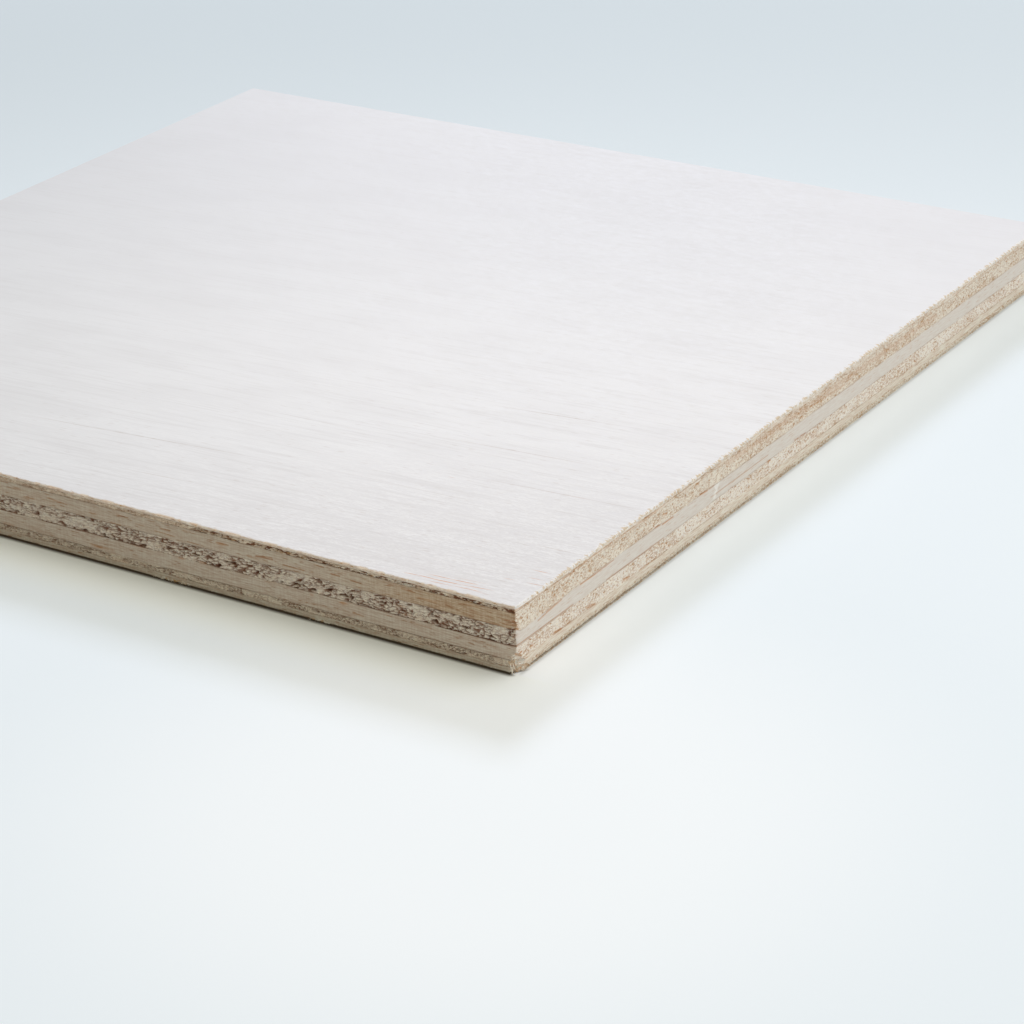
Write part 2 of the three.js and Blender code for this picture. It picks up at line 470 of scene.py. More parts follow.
def torn_end_grain(s, z, seed, size=1.0):
    """Torn across the grain: flattened ropes of fibre with dark cracks winding between them."""
    v = z + 0.06 * s
    along = s + wobble(s, v, (1.8, 0.8), seed + 3, 1.6)
    across = v + wobble(s, v, (1.5, 0.9), seed + 5, 0.8)
    first, gap, chosen = cells(along / (1.5 * size), across / (0.46 * size), seed)
    active = smooth(0.34, 0.56, pattern(s, z, (2.6, 1.2), seed + 7))
    crack = smooth(0.25, 0.05, gap) * (0.30 + 0.70 * active)
    small = pattern(along, across, (0.85 * size, 0.34 * size), seed + 31, 2)
    fine = near_middle(small, 0.050) * (0.20 + 0.50 * active)
    pit = (chosen > 0.90) * smooth(0.50, 0.26, first) * active
    deep = smooth(0.66, 0.74, pattern(s, v, (0.95, 0.42), seed + 13)) * active
    rough = pattern(s, z, (0.30, 0.18), seed + 11)
    crest = smooth(0.36, 0.10, first)
    sunk = 0.10 + 0.19 * crack + 0.08 * fine + 0.20 * pit + 0.18 * deep
    dark = unit(0.78 * crack + 0.42 * fine + 0.85 * pit + 0.85 * deep)
    tint = smooth(0.52, 0.78, pattern(s, z, (1.8, 0.5), seed + 17))
    return {
        "depth": sunk + 0.08 * (1 - rough) - 0.05 * crest,
        "crevice": dark,
        "stain": unit(0.16 * tint + 0.30 * crack),
        "pale": (0.65 * smooth(0.42, 0.70, rough) + 0.45 * crest) * (1 - dark),
    }


def blend(first, second, share):
    """One kind of grain with this share of another."""
    return {key: first[key] * (1 - share) + second[key] * share for key in LAYERS}


def strengthen(face, **amounts):
    """Add these amounts to marks of a face, each held between 0 and 1."""
    for key, amount in amounts.items():
        face[key] = unit(face[key] + amount)


def streaked(s, z, seed):
    """Long grain with the front edge's own streaks."""
    face = long_grain(s, z, seed)
    streaks = strokes(s, z, FRONT_STREAKS)
    broken = 0.35 + 0.65 * smooth(0.30, 0.60, pattern(s, z, (0.7, 0.10), seed + 19))
    face["depth"] = face["depth"] + 0.09 * streaks
    strengthen(face, stain=streaks * (0.5 + 0.5 * broken), crevice=0.70 * broken * streaks**2)
    return face


def holed(s, z, seed):
    """Torn end grain with the front edge's own holes."""
    face = torn_end_grain(s, z, seed)
    ragged_s = s + wobble(s, z, (0.7, 0.5), seed + 41, 0.9)
    ragged_z = z + wobble(s, z, (0.6, 0.4), seed + 43, 0.5)
    for centre, radii, depth in FRONT_VOIDS:
        hole = spot(ragged_s, ragged_z, centre, radii)
        face["depth"] = face["depth"] + depth * hole
        face["pale"] = face["pale"] * (1 - hole)
        # each hole is darkened with painted shade as well
        strengthen(face, crevice=1.1 * hole)
    return face


def curled(s, z, seed):
    """The thin upper crossband: dark clumps and pale curls, more finely sawn far from the near corner."""
    torn = torn_end_grain(s, z, seed, 0.6)
    stretch = smooth(0.36, 0.50, pattern(s, 0 * z, (4.0, 1.0), seed + 23))
    clumps = smooth(0.46, 0.52, pattern(s, z, (1.2, 0.42), seed + 19)) * (0.55 + 0.45 * stretch)
    curls = smooth(0.54, 0.62, pattern(s, z, (0.8, 0.20), seed + 27))
    torn["crevice"] = smooth(0.22, 0.66, 0.80 * torn["crevice"] + clumps) * (1 - 0.9 * curls)
    torn["pale"] = 0.8 * torn["pale"] * (1 - clumps)
    strengthen(torn, stain=0.35 * clumps, pale=1.1 * curls)
    torn["depth"] = 0.7 * torn["depth"] + 0.07 * clumps - 0.10 * curls
    worn = 1 - smooth(*TORN_ENDS, s)
    return blend(fine_end_grain(s, z, seed + 1), torn, unit(worn + 0.25))


def front_edge(name, s, z, seed):
    """The edge on the left of the picture."""
    if name == LAPPED:
        face = holed(s, z, seed)
    elif name == "upper_crossband":
        face = curled(s, z, seed)
    elif name == "lower_crossband":
        face = blend(fine_end_grain(s, z, seed), torn_end_grain(s, z, seed + 1, 0.60), 0.85)
    else:
        face = streaked(s, z, seed)
    fibres = smooth(0.30, 0.65, pattern(s, z, (0.8, 0.16), 311))
    patches = np.zeros(np.shape(s))
    for centre, radii, strength in FRONT_PATCHES:
        patches = np.maximum(patches, strength * spot(s, z, centre, radii) * (0.35 + 0.65 * fibres))
    strengthen(face, stain=patches)
    return face


RIGHT_FAINT = {FACE: 0.4, LAPPED: 0.5, "lower_crossband": 0.5}  # veneers whose relief is weaker there


def right_edge(name, s, z, seed):
    """The edge on the right of the picture."""
    sawn = long_grain if name in (LAPPED, "lower_crossband") else fine_end_grain
    face = {key: RIGHT_FAINT.get(name, 1.0) * value for key, value in sawn(s, z, seed).items()}
    glue = strokes(s, z, RIGHT_GLUE)
    broken = smooth(0.35, 0.60, pattern(s, z, (0.9, 0.14), seed + 19))
    face["depth"] = face["depth"] + 0.08 * glue
    strengthen(face, stain=glue, crevice=0.80 * broken * glue**3)
    ragged = s + wobble(s, z, (0.8, 0.6), seed + 21, 1.5)
    chip = stroke(ragged, z, *CHIP) * smooth(0.30, 0.48, pattern(s, z, (0.35, 0.5), seed + 25))
    strengthen(face, pale=2.0 * chip)
    face["stain"] = face["stain"] * (1 - chip)
    face["depth"] = face["depth"] * (1 - 0.7 * chip)
    return face


def hidden_edge(name, shows_end, coarse, s, z, seed):
    """The two edges that the picture doesn't show, sawn in the same way."""
    if not shows_end:
        return long_grain(s, z, seed)
    if coarse and name in (LAPPED, "upper_crossband"):
        return torn_end_grain(s, z, seed)
    return fine_end_grain(s, z, seed)


# How strongly the glue shows between each veneer and the next, from the back up
FRONT_SEAMS = (0.0, 0.20, 0.80, 0.75, 0.80, 0.50, 0.45, 0.0)
RIGHT_SEAMS = (0.0, 0.28, 0.40, 0.60, 0.38, 0.22, 0.75, 0.0)
SEAM_WIDTH = 0.09
SEAM_SEED = 500
UNBROKEN_SEAMS = {3: 14.5, 2: 24.0}  # how far from the near corner these faces show an unbroken line
UNBROKEN_STRENGTH = 1.3
LOW_SEAM = (6, 0.30)  # on the right this line lies a little below its face
LOW_SEAM_ENDS = (50.0, 85.0)  # and fades between these distances from the near corner
LOW_SEAM_FADE = 0.8


def along_sides(size, side_step, seed):
    """Noise along the loop with features of this size, and a stretch of its own for each side."""
    return pattern(LOOP_S, LOOP_SIDE * side_step, (size, 1.0), seed)


def seam_mark(index, low, high, z):
    """The glue lines along the two faces of a veneer, broken up along their length."""
    total = np.zeros(z.shape)
    for face, level in ((index, low), (index + 1, high)):
        strength = np.where(ON["front"] | ON["rear"], FRONT_SEAMS[face], RIGHT_SEAMS[face])
        broken = smooth(0.25, 0.60, along_sides(4.5, 9.0, SEAM_SEED + face))
        reach = UNBROKEN_SEAMS.get(face, 0.0)
        close = ON["front"] * (1 - smooth(reach, reach + 1, LOOP_S))
        broken = np.maximum(broken, UNBROKEN_STRENGTH * close * (reach > 0))
        lowered = (face == LOW_SEAM[0]) * ON["right"]
        strength = strength * (1 - LOW_SEAM_FADE * lowered * smooth(*LOW_SEAM_ENDS, LOOP_S))
        away = np.abs(z - level + LOW_SEAM[1] * lowered)
        total = np.maximum(total, strength * broken * bell(away, 0, SEAM_WIDTH))
    return unit(total)


ARRIS = {"front": 0.22, "right": 0.26, "rear": 0.06, "left": 0.06}
NOTCHED_ARRIS = 0.48  # where fibres broke out of the face veneer along the right edge
FRONT_BITES = 0.34  # how much more is gone from the front arris in places
# How far the colour of the sanded top runs down over the arris
TOP_RUNS_DOWN = {"front": -0.02, "right": 0.34, "rear": 0.10, "left": 0.10}

# The lower part of each edge: where it starts to lean in, how far it leans, the height of the painted foot
# shadow that it stands on, how far that foot comes out again, and how dark that painted shadow is
FEET = {
    "front": (0.55, 0.00, 0.34, 0.00, 0.93),
    "right": (1.0, 0.20, 0.38, 0.16, 0.80),
    "rear": (0.9, 0.06, 0.40, 0.05, 0.80),
    "left": (0.9, 0.06, 0.40, 0.05, 0.80),
}
# Along the right edge: distances from the near corner, with the painted foot shadow's strength and height
# there
FOOT_ALONG = (0.0, 2.5, 5.0, 18.0, 45.0, 80.0, 130.0)
FOOT_FADE = (0.95, 0.95, 1.0, 0.88, 0.68, 0.46, 0.30)
FOOT_RISE = (0.55, 0.60, 1.0, 1.05, 1.25, 1.30, 1.30)
FOOT_EVENNESS = {"front": 0.86, "right": 0.74, "rear": 0.74, "left": 0.74}  # 1 is one height all along
FOOT_RAGGEDNESS = 2.4  # the rest of the height is this many times a noise of about 0.4
FOOT_BLUR = 0.05
FOOT_FILL = 0.8  # the share of the edge's relief that the dark foot fills
FOOT_TUFTS = ((37.8, 1.5), (70.2, 2.4))  # fibres fill the foot of the front edge here: place, half length
TUFT_SHARE = 0.75  # how much lower the foot can be there
SEED_STEP = 101  # between the seeds of two veneers
SIDE_SEED_STEP = 1009  # and of two sides

# Notches in the upright corner nearest the camera: height, half height, depth
CORNER_NOTCHES = (
    (11.45, 0.25, 0.11),
    (10.75, 0.10, 0.16),
    (10.20, 0.08, 0.12),
    (9.15, 0.14, 0.36),
    (8.60, 0.09, 0.26),
    (8.10, 0.13, 0.40),
    (7.00, 0.25, 0.14),
    (5.15, 0.10, 0.24),
)
NOTCH_REACH = {"front": 1.2, "right": 0.50}
NOTCH_STAIN = 2.2  # for each millimetre of a notch's depth
# How much each notch is darkened with painted shade, for each millimetre of its depth
NOTCH_PAINTED_SHADE = 1.2

# The upright corner wanders: height, half height, how far it moves along -X and along +Y
CORNER_SHIFTS = (
    (12.0, 0.40, 0.15, 0.00),
    (8.8, 0.55, 0.00, 0.45),
    (5.3, 0.60, 0.00, 0.25),
)
SHIFT_REACH = 0.9
SHIFT_RAGGEDNESS = (0.10, 0.14)  # how much more it moves here and there, along -X and along +Y


def shift_corner(points):
    """Move the points near the upright corner sideways, a little more or less at each height."""
    x, y, z = points[..., 0], points[..., 1], points[..., 2]
    near = np.exp(-((HALF_X - x) ** 2 + (HALF_Y + y) ** 2) / SHIFT_REACH**2)
    back_x = SHIFT_RAGGEDNESS[0] * noise(z / 0.32, 0 * z, seed=91)
    back_y = SHIFT_RAGGEDNESS[1] * noise(z / 0.27, 0 * z, seed=93)
    for height, half, along_x, along_y in CORNER_SHIFTS:
        level = bell(z, height, half)
        back_x = back_x + along_x * level
        back_y = back_y + along_y * level
    return np.stack((x - back_x * near, y + back_y * near, z), axis=-1)


def round_over(rise, size):
    """How far a quarter round of this size has come in where it rises above its springing."""
    size = np.maximum(size, 1e-3)
    t = unit(rise / size)
    return size * (1 - np.sqrt(1 - t * t))


def corner_notches(z):
    """Depth of the notches, round both sides of the near corner."""
    total = np.zeros(z.shape)
    for side, reach in NOTCH_REACH.items():
        near = ON[side] * bell(LOOP_S, 0, reach)
        for height, half, depth in CORNER_NOTCHES:
            total = total + depth * near * bell(z, height, half)
    return total


def edge_relief(index, z):
    """Depth and marks of a veneer's edge, for rows of heights all round the loop."""
    name, _, grain = PLIES[index]
    out = {key: np.zeros(z.shape) for key in LAYERS}
    for number, side in enumerate(SIDES):
        here = ON[side]
        s = np.broadcast_to(LOOP_S[here], (z.shape[0], here.sum()))
        seed = SEED_STEP * (index + 1) + SIDE_SEED_STEP * number
        if side == "front":
            face = front_edge(name, s, z[:, here], seed)
        elif side == "right":
            face = right_edge(name, s, z[:, here], seed)
        else:
            shows_end = (grain == "y") == (side == "rear")
            face = hidden_edge(name, shows_end, side == "rear", s, z[:, here], seed)
        for key in LAYERS:
            out[key][:, here] = face[key]
    mean = out["depth"].mean()
    out["depth"] = out["depth"] * (1 - LOOP_CORNER) + mean * LOOP_CORNER
    notch = corner_notches(z)
    out["depth"] = out["depth"] + notch
    strengthen(out, stain=NOTCH_STAIN * notch, crevice=NOTCH_PAINTED_SHADE * notch)
    return out


def upper_wear(z):
    """How far the upper arris of the whole panel is worn back."""
    size = per_side(ARRIS) * (0.7 + 0.6 * along_sides(3.0, 5.0, 73))
    chips = smooth(0.42, 0.72, along_sides(0.9, 7.0, 71))
    bites = smooth(0.54, 0.64, along_sides(1.7, 7.0, 75))
    size = size + ON["right"] * (NOTCHED_ARRIS - ARRIS["right"]) * chips
    size = size + ON["front"] * FRONT_BITES * bites
    return round_over(z - (TOP - size), size)


def lower_lean(z):
    """How far the lower part of the edges leans in, and how far z is into the painted foot shadow."""
    lean_from, lean, foot, flare, dark = per_side(FEET).T
    ragged = 0.5 * along_sides(1.1, 3.0, 79) + 0.3 * noise(LOOP_S / 0.35, LOOP_SIDE * 3.0, 81)
    even = per_side(FOOT_EVENNESS)
    foot = foot * (even + FOOT_RAGGEDNESS * (1 - even) * ragged)
    for place, half in FOOT_TUFTS:
        near = ON["front"] * bell(LOOP_S, place, half)
        foot = foot * (1 - TUFT_SHARE * near * noise(LOOP_S / 0.7, LOOP_SIDE, 77))
    fade = np.where(ON["right"], np.interp(LOOP_S, FOOT_ALONG, FOOT_FADE), 1.0)
    foot = foot * np.where(ON["right"], np.interp(LOOP_S, FOOT_ALONG, FOOT_RISE), 1.0)
    # painted contact shadow: how far z is into the dark band along the foot
    in_foot_shadow = dark * fade * smooth(foot + FOOT_BLUR, foot - FOOT_BLUR, z)
    in_foot_shadow = in_foot_shadow * np.where(ON["right"], 0.45 + 0.55 * smooth(0.05, 0.30, z), 1.0)
    return fade * (lean * smooth(lean_from, foot, z) - flare * smooth(foot, 0.0, z)), in_foot_shadow


def top_share(z):
    """1 where the colour of the sanded top covers the arris."""
    down = per_side(TOP_RUNS_DOWN) * (0.4 + 1.2 * along_sides(0.8, 2.0, 83))
    return smooth(-0.10, 0.04, z - (TOP - down))


# The lowest part of the near corner has broken off on a slant, and splintered
CORNER_CUT = (1.75, 2.6, 4.8)  # how far it goes along the front, along the right side and up
CUT_STEEPNESS = 1.75
CUT_UNEVENNESS = (0.78, 0.32)  # the least share of that it has at a height, and how much more it may have
CUT_ROUGHNESS = 0.24
CUT_SPLINTERS = (1.3, 0.17)  # the length and the thickness of its splinters
SLANT = math.sqrt(2)


def break_corner(points):
    """Move points outside the broken surface back onto it, and say which ones were."""
    along_front, along_side, height = CORNER_CUT
    x, y, z = points[..., 0], points[..., 1], points[..., 2]
    length, thickness = CUT_SPLINTERS
    splinters = pattern(x / length + y / length, z, (1.0, thickness), 83)
    least, more = CUT_UNEVENNESS
    taper = unit(CUT_STEEPNESS * (1 - z / height)) * (least + more * noise(z / 0.45, 0 * z, 87))
    share = np.maximum(taper, 1e-4)
    from_front = (HALF_X - x) / (along_front * share)
    from_side = (HALF_Y + y) / (along_side * share)
    outside = np.clip(1 - from_front - from_side, 0, None)
    rate = (1 / along_front + 1 / along_side) / (share * SLANT)
    broken = (outside > 0) & (taper > 0.02)
    move = np.where(broken, outside / rate + CUT_ROUGHNESS * splinters * smooth(0, 0.25, outside), 0)
    shifted = points.copy()
    shifted[..., 0] -= move / SLANT
    shifted[..., 1] += move / SLANT
    return shifted, broken * smooth(0, 0.2, outside), splinters


# ===== Meshes =====


def add_object(name, data):
    """A new object in the scene."""
    made = bpy.data.objects.new(name, data)
    bpy.context.collection.objects.link(made)
    return made


def new_piece(name, points, faces, marks, materials):
    """A mesh object in metres from points in millimetres, with only the points its faces use.

    Where there are two materials, the second one is on the flat faces.
    """
    used = np.unique(np.concatenate([np.asarray(face) for face in faces]))
    renumber = np.full(len(points), -1)
    renumber[used] = np.arange(len(used))
    corners = [renumber[list(face)].tolist() for face in faces]
    mesh = bpy.data.meshes.new(name)
    mesh.from_pydata((points[used] * MM).tolist(), [], corners)
    for key, values in marks.items():
        layer = mesh.attributes.new(key, "FLOAT", "POINT")
        layer.data.foreach_set("value", np.asarray(values, np.float32)[used])
    on_wall = np.array([len(face) == 4 for face in faces])
    mesh.polygons.foreach_set("use_smooth", on_wall)
    for material in materials:
        mesh.materials.append(material)
    if len(materials) > 1:
        mesh.polygons.foreach_set("material_index", (~on_wall).astype(np.int32))
    mesh.update()
    piece = add_object(name, mesh)
    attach(piece, "root")
    return piece


def mark_caps_sharp(piece):
    """The rim of each flat face stays sharp, so that the walls shade by themselves."""
    mesh = piece.data
    rim = {key for polygon in mesh.polygons if len(polygon.vertices) > 4 for key in polygon.edge_keys}
    layer = mesh.attributes.new("sharp_edge", "BOOLEAN", "EDGE")
    layer.data.foreach_set("value", np.array([edge.key in rim for edge in mesh.edges]))


# Marks on the broken corner: the share of each, between which levels of its splinters
BREAK_MARKS = {"pale": (1.2, 0.42, 0.58), "stain": (0.45, 0.46, 0.34), "crevice": (0.5, 0.34, 0.24)}


def wall(index):
    """The grid of points on a veneer's edge all round, with its marks, from the bottom row up."""
    name, _, grain = PLIES[index]
    thickness = HEIGHTS[index + 1] - HEIGHTS[index]
    rows = round(thickness / (FINE_ROW_STEP if name in FINE_ROWED else ROW_STEP))
    low, high = interface(index), interface(index + 1)
    z = low + (high - low) * np.linspace(0, 1, rows + 1)[:, None]
    marks = edge_relief(index, z)
    lean, in_foot_shadow = lower_lean(z)
    wear = upper_wear(z) + lean
    depth = np.maximum(marks.pop("depth") * (1 - FOOT_FILL * in_foot_shadow) + wear, 0.0)
    points = np.stack((LOOP_X - LOOP_NX * depth, LOOP_Y - LOOP_NY * depth, z), axis=-1)
    points, broken, splinters = break_corner(shift_corner(points))
    for key, (share, low_level, high_level) in BREAK_MARKS.items():
        strengthen(marks, **{key: share * broken * smooth(low_level, high_level, splinters)})
    ends = ON["front"] | ON["rear"] if grain == "y" else ON["right"] | ON["left"]
    marks["end"] = np.broadcast_to(ends.astype(float), z.shape)
    warm = ON["front"] * (1 - smooth(*WARM_ENDS, LOOP_S)) * (name == "upper_core")
    marks["warm"] = np.broadcast_to(warm, z.shape)
    marks["glue"] = seam_mark(index, low, high, z) * (1 - broken)
    # painted contact shadow along the foot of the edge
    marks["foot"] = in_foot_shadow
    marks["top"] = top_share(z)
    if name == FACE:
        marks["top"][-1] = 1.0
    return points.reshape(-1, 3), {key: values.ravel() for key, values in marks.items()}, rows


def grid_faces(rows, columns):
    """Quads between neighbouring columns of the loop, for these rows and columns."""
    faces = []
    for row in rows:
        here, above = row * COLUMNS, (row + 1) * COLUMNS
        for column in columns:
            after = (column + 1) % COLUMNS
            faces.append((here + column, here + after, above + after, above + column))
    return faces


def around(start, end):
    """Columns from start to end, both included, going round the loop."""
    if end < start:
        end += COLUMNS
    return [column % COLUMNS for column in range(start, end + 1)]


def finished(node, points, faces, marks, materials):
    """The mesh that takes a node's place."""
    piece = new_piece(f"{node}_wood", points, faces, marks, materials)
    mark_caps_sharp(piece)
    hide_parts(node)
    return piece


def veneer(index, materials):
    """A veneer in one length: its wall all round, its underside and its top."""
    points, marks, rows = wall(index)
    faces = grid_faces(range(rows), range(COLUMNS))
    faces.append(range(COLUMNS)[::-1])
    faces.append(range(rows * COLUMNS, (rows + 1) * COLUMNS))
    return [finished(PLIES[index][0], points, faces, marks, materials)]


def nearest_column(side, from_front):
    """The column of the right or the left side that is nearest to a distance from the front edge."""
    columns = np.flatnonzero(ON[side])
    s = LOOP_S[columns] if side == "right" else 2 * HALF_Y - LOOP_S[columns]
    return int(columns[np.argmin(np.abs(s - from_front))])


def lapped_veneer(index, materials):
    """Two lengths in one veneer: the front one's tongue runs on under the rear one."""
    points, marks, rows = wall(index)
    butt_right, end_right = nearest_column("right", LAP_BUTT), nearest_column("right", LAP_END)
    butt_left, end_left = nearest_column("left", LAP_BUTT), nearest_column("left", LAP_END)
    step = round(rows * LAP_TONGUE / (HEIGHTS[index + 1] - HEIGHTS[index]))

    def row(number, columns):
        """The points of one row at these columns."""
        return [number * COLUMNS + column for column in columns]

    def upright(first, last, right, left):
        """The points up one column between two rows, and down another one."""
        numbers = range(first, last + 1)
        return [n * COLUMNS + right for n in numbers] + [n * COLUMNS + left for n in numbers[::-1]]

    shared = (
        row(step, around(butt_right, end_right) + around(end_left, butt_left)),
        upright(step, rows, butt_right, butt_left)[::-1],
        upright(0, step, end_right, end_left)[::-1],
    )
    turned = [face[::-1] for face in shared]
    lengths = (
        ("front", around(end_left, end_right), around(butt_left, butt_right), shared),
        ("rear", around(end_right, end_left), around(butt_right, butt_left), turned),
    )
    pieces = []
    for length, below, above, inner in lengths:
        faces = grid_faces(range(step), below[:-1]) + grid_faces(range(step, rows), above[:-1])
        faces += [row(0, below)[::-1], row(rows, above), *inner]
        pieces.append(finished(f"{PLIES[index][0]}_{length}", points, faces, marks, materials))
    return pieces


# Bunches of loose fibres on the edges: the side, its stretch from the near corner, the heights, how far
# behind the side's plane they lie, how many there are, how long they are, how steeply they hang and
# their half width
FIBRE_BUNCHES = (
    ("front", (35.8, 40.0), (0.05, 0.45), 0.02, 34, 1.0, 0.5, 0.085),
    ("front", (64.5, 72.0), (0.05, 0.45), 0.02, 50, 1.2, 0.5, 0.085),
    ("front", (2.2, 104.0), (0.35, 0.60), 0.08, 90, 0.9, 0.2, 0.045),
    ("front", (19.2, 22.6), (10.9, 11.7), 0.08, 22, 1.4, 0.5, 0.05),
    ("front", (0.5, 62.0), (10.9, 11.4), 0.08, 110, 1.0, 0.3, 0.045),
    ("front", (0.3, 1.2), (4.6, 10.4), 0.12, 16, 0.5, 0.2, 0.035),
    ("right", (1.5, 190.0), (0.45, 1.00), 0.46, 260, 0.8, 0.7, 0.045),
    ("right", (0.3, 190.0), (11.3, 11.9), 0.06, 260, 0.7, 0.5, 0.045),
    ("right", (3.0, 84.0), (11.40, 11.75), 0.05, 260, 0.36, -1.5, 0.042),
    ("front", (1.0, 104.0), (11.50, 11.90), 0.06, 150, 0.9, -0.3, 0.045),
)
# Splinters on the broken corner. Each end is given by its distances behind the front and the right side
# and its height; then comes the half width
CORNER_SPLINTERS = (
    ((0.05, 1.60, 2.35), (0.06, 1.15, 0.75), 0.16),
    ((0.03, 1.25, 0.95), (0.02, 0.95, 0.02), 0.17),
    ((0.30, 1.20, 1.30), (0.12, 0.92, 0.06), 0.10),
    ((0.45, 1.15, 2.20), (0.40, 0.80, 0.60), 0.10),
    ((0.02, 1.70, 2.75), (0.35, 0.90, 2.95), 0.08),
    ((0.10, 1.50, 1.90), (0.55, 0.90, 2.15), 0.08),
    ((0.60, 0.90, 0.90), (1.10, 0.60, 0.05), 0.09),
    ((0.90, 0.80, 3.00), (0.55, 0.95, 1.80), 0.09),
    ((0.20, 0.70, 3.90), (0.10, 1.10, 3.30), 0.07),
    ((1.30, 0.60, 1.60), (1.00, 0.75, 0.40), 0.08),
)
SPLINTER_BOW = (0.06, -0.06, 0.05)
CORNER_HAIRS = 46
HAIR_HALF_WIDTH = 0.045
HAIR_HEIGHTS = (0.05, 2.4)
HAIR_PLACES = (0.1, 0.9)  # shares of the way across the break, from the right side to the front
HAIR_SPREAD = (0.15, 0.3, 0.45)  # how far a hair's end lies from its start
HAIR_INSET = 0.92  # the share of the way to the broken surface at which a hair starts
FIBRE_SEED = 12
FIBRE_RINGS = 5
FIBRE_TIP = 0.12  # how wide its ends are, as a share of its half width
FIBRE_RIDGE = 0.7  # how far its ridge stands out, as a share of that too
FIBRE_FULLNESS = 0.6  # less than 1 keeps it wide for more of its length
FIBRE_MARGIN = 0.01  # every fibre stays this far inside the panel's outline
FIBRE_FACING = (0.55, -0.83, 0.1)  # about towards the camera
START_BEHIND = 0.05  # a fibre starts this far behind the depth of its bunch
END_BEFORE = 0.06  # and ends up to this far in front of it
LEAST_DEPTH = 0.02
BOW_SPREAD = 0.10
LENGTH_SPREAD = (0.4, 1.1)  # shares of a bunch's own length, steepness and width
LEAN_SPREAD = (-1.2, 0.6)
WIDTH_SPREAD = (0.6, 1.4)


def side_point(side, s, z, depth):
    """A point on a side, by its distance from the near corner, its height and its depth."""
    if side == "front":
        return (HALF_X - s, -HALF_Y + depth, z)
    return (HALF_X - depth, -HALF_Y + s, z)


def corner_point(behind_front, behind_right, z):
    """A point by its distances behind the front and the right side, and its height."""
    return (HALF_X - behind_right, -HALF_Y + behind_front, z)


def add_fibre(points, faces, start, end, bow, half_width):
    """A thin three-sided blade from start to end, bowed sideways and pointed at both ends."""
    start, end, bow = np.array(start), np.array(end), np.array(bow)
    first = len(points)
    along = (end - start) / np.linalg.norm(end - start)
    across = np.cross(along, FIBRE_FACING)
    across /= np.linalg.norm(across)
    outward = np.cross(across, along)
    for ring in range(FIBRE_RINGS):
        t = ring / (FIBRE_RINGS - 1)
        middle = start + (end - start) * t + bow * 4 * t * (1 - t)
        reach = half_width * max(FIBRE_TIP, math.sin(math.pi * t) ** FIBRE_FULLNESS)
        ridge = outward * reach * FIBRE_RIDGE
        points.extend((middle + across * reach, middle - across * reach, middle + ridge))
    for ring in range(FIBRE_RINGS - 1):
        for corner in range(3):
            here, after = first + 3 * ring + corner, first + 3 * ring + (corner + 1) % 3
            faces.append((here, after, after + 3, here + 3))
    last = first + 3 * (FIBRE_RINGS - 1)
    faces.extend(((first + 2, first + 1, first), (last, last + 1, last + 2)))


def add_bunches(points, faces, rng):
    """The loose fibres on the edges."""
    for side, (s0, s1), (z0, z1), depth, count, length, steep, half_width in FIBRE_BUNCHES:
        for _ in range(count):
            s, z = rng.uniform(s0, s1), rng.uniform(z0, z1)
            reach = length * rng.uniform(*LENGTH_SPREAD)
            lean = steep * rng.uniform(*LEAN_SPREAD)
            start = side_point(side, s, z, depth + START_BEHIND)
            end_depth = max(depth - rng.uniform(0, END_BEFORE), LEAST_DEPTH)
            end = side_point(side, s + reach, z + reach * lean, end_depth)
            bow = (0, 0, rng.normal(0, BOW_SPREAD))
            add_fibre(points, faces, start, end, bow, half_width * rng.uniform(*WIDTH_SPREAD))


def add_splinters(points, faces, rng):
    """The splinters of the broken corner, and the hairs between them."""
    for start, end, half_width in CORNER_SPLINTERS:
        add_fibre(points, faces, corner_point(*start), corner_point(*end), SPLINTER_BOW, half_width)
    for _ in range(CORNER_HAIRS):
        height = rng.uniform(*HAIR_HEIGHTS)
        share = rng.uniform(*HAIR_PLACES)
        behind = (CORNER_CUT[1] * HAIR_INSET * (1 - share), CORNER_CUT[0] * HAIR_INSET * share)
        start = np.array((*behind, height))
        end = start + rng.normal(0, 1, 3) * HAIR_SPREAD
        add_fibre(points, faces, corner_point(*start), corner_point(*end), (0, 0, 0), HAIR_HALF_WIDTH)


def loose_fibres(material):
    """Every loose fibre and splinter, joined into one piece that stays inside the panel's outline."""
    rng = np.random.default_rng(FIBRE_SEED)
    points, faces = [], []
    add_bunches(points, faces, rng)
    add_splinters(points, faces, rng)
    low = np.array((-HALF_X, -HALF_Y, 0)) + FIBRE_MARGIN
    high = np.array((HALF_X, HALF_Y, TOP)) - FIBRE_MARGIN
    return new_piece("loose_fibres", np.clip(np.array(points), low, high), faces, {}, [material])


# ===== Materials =====


def linear(*levels):
    """A colour written as 8-bit sRGB levels, as the linear values that shaders use."""
    out = []
    for level in levels:
        c = level / 255
        out.append(c / 12.92 if c <= 0.04045 else ((c + 0.055) / 1.055) ** 2.4)
    return (*out, 1.0)


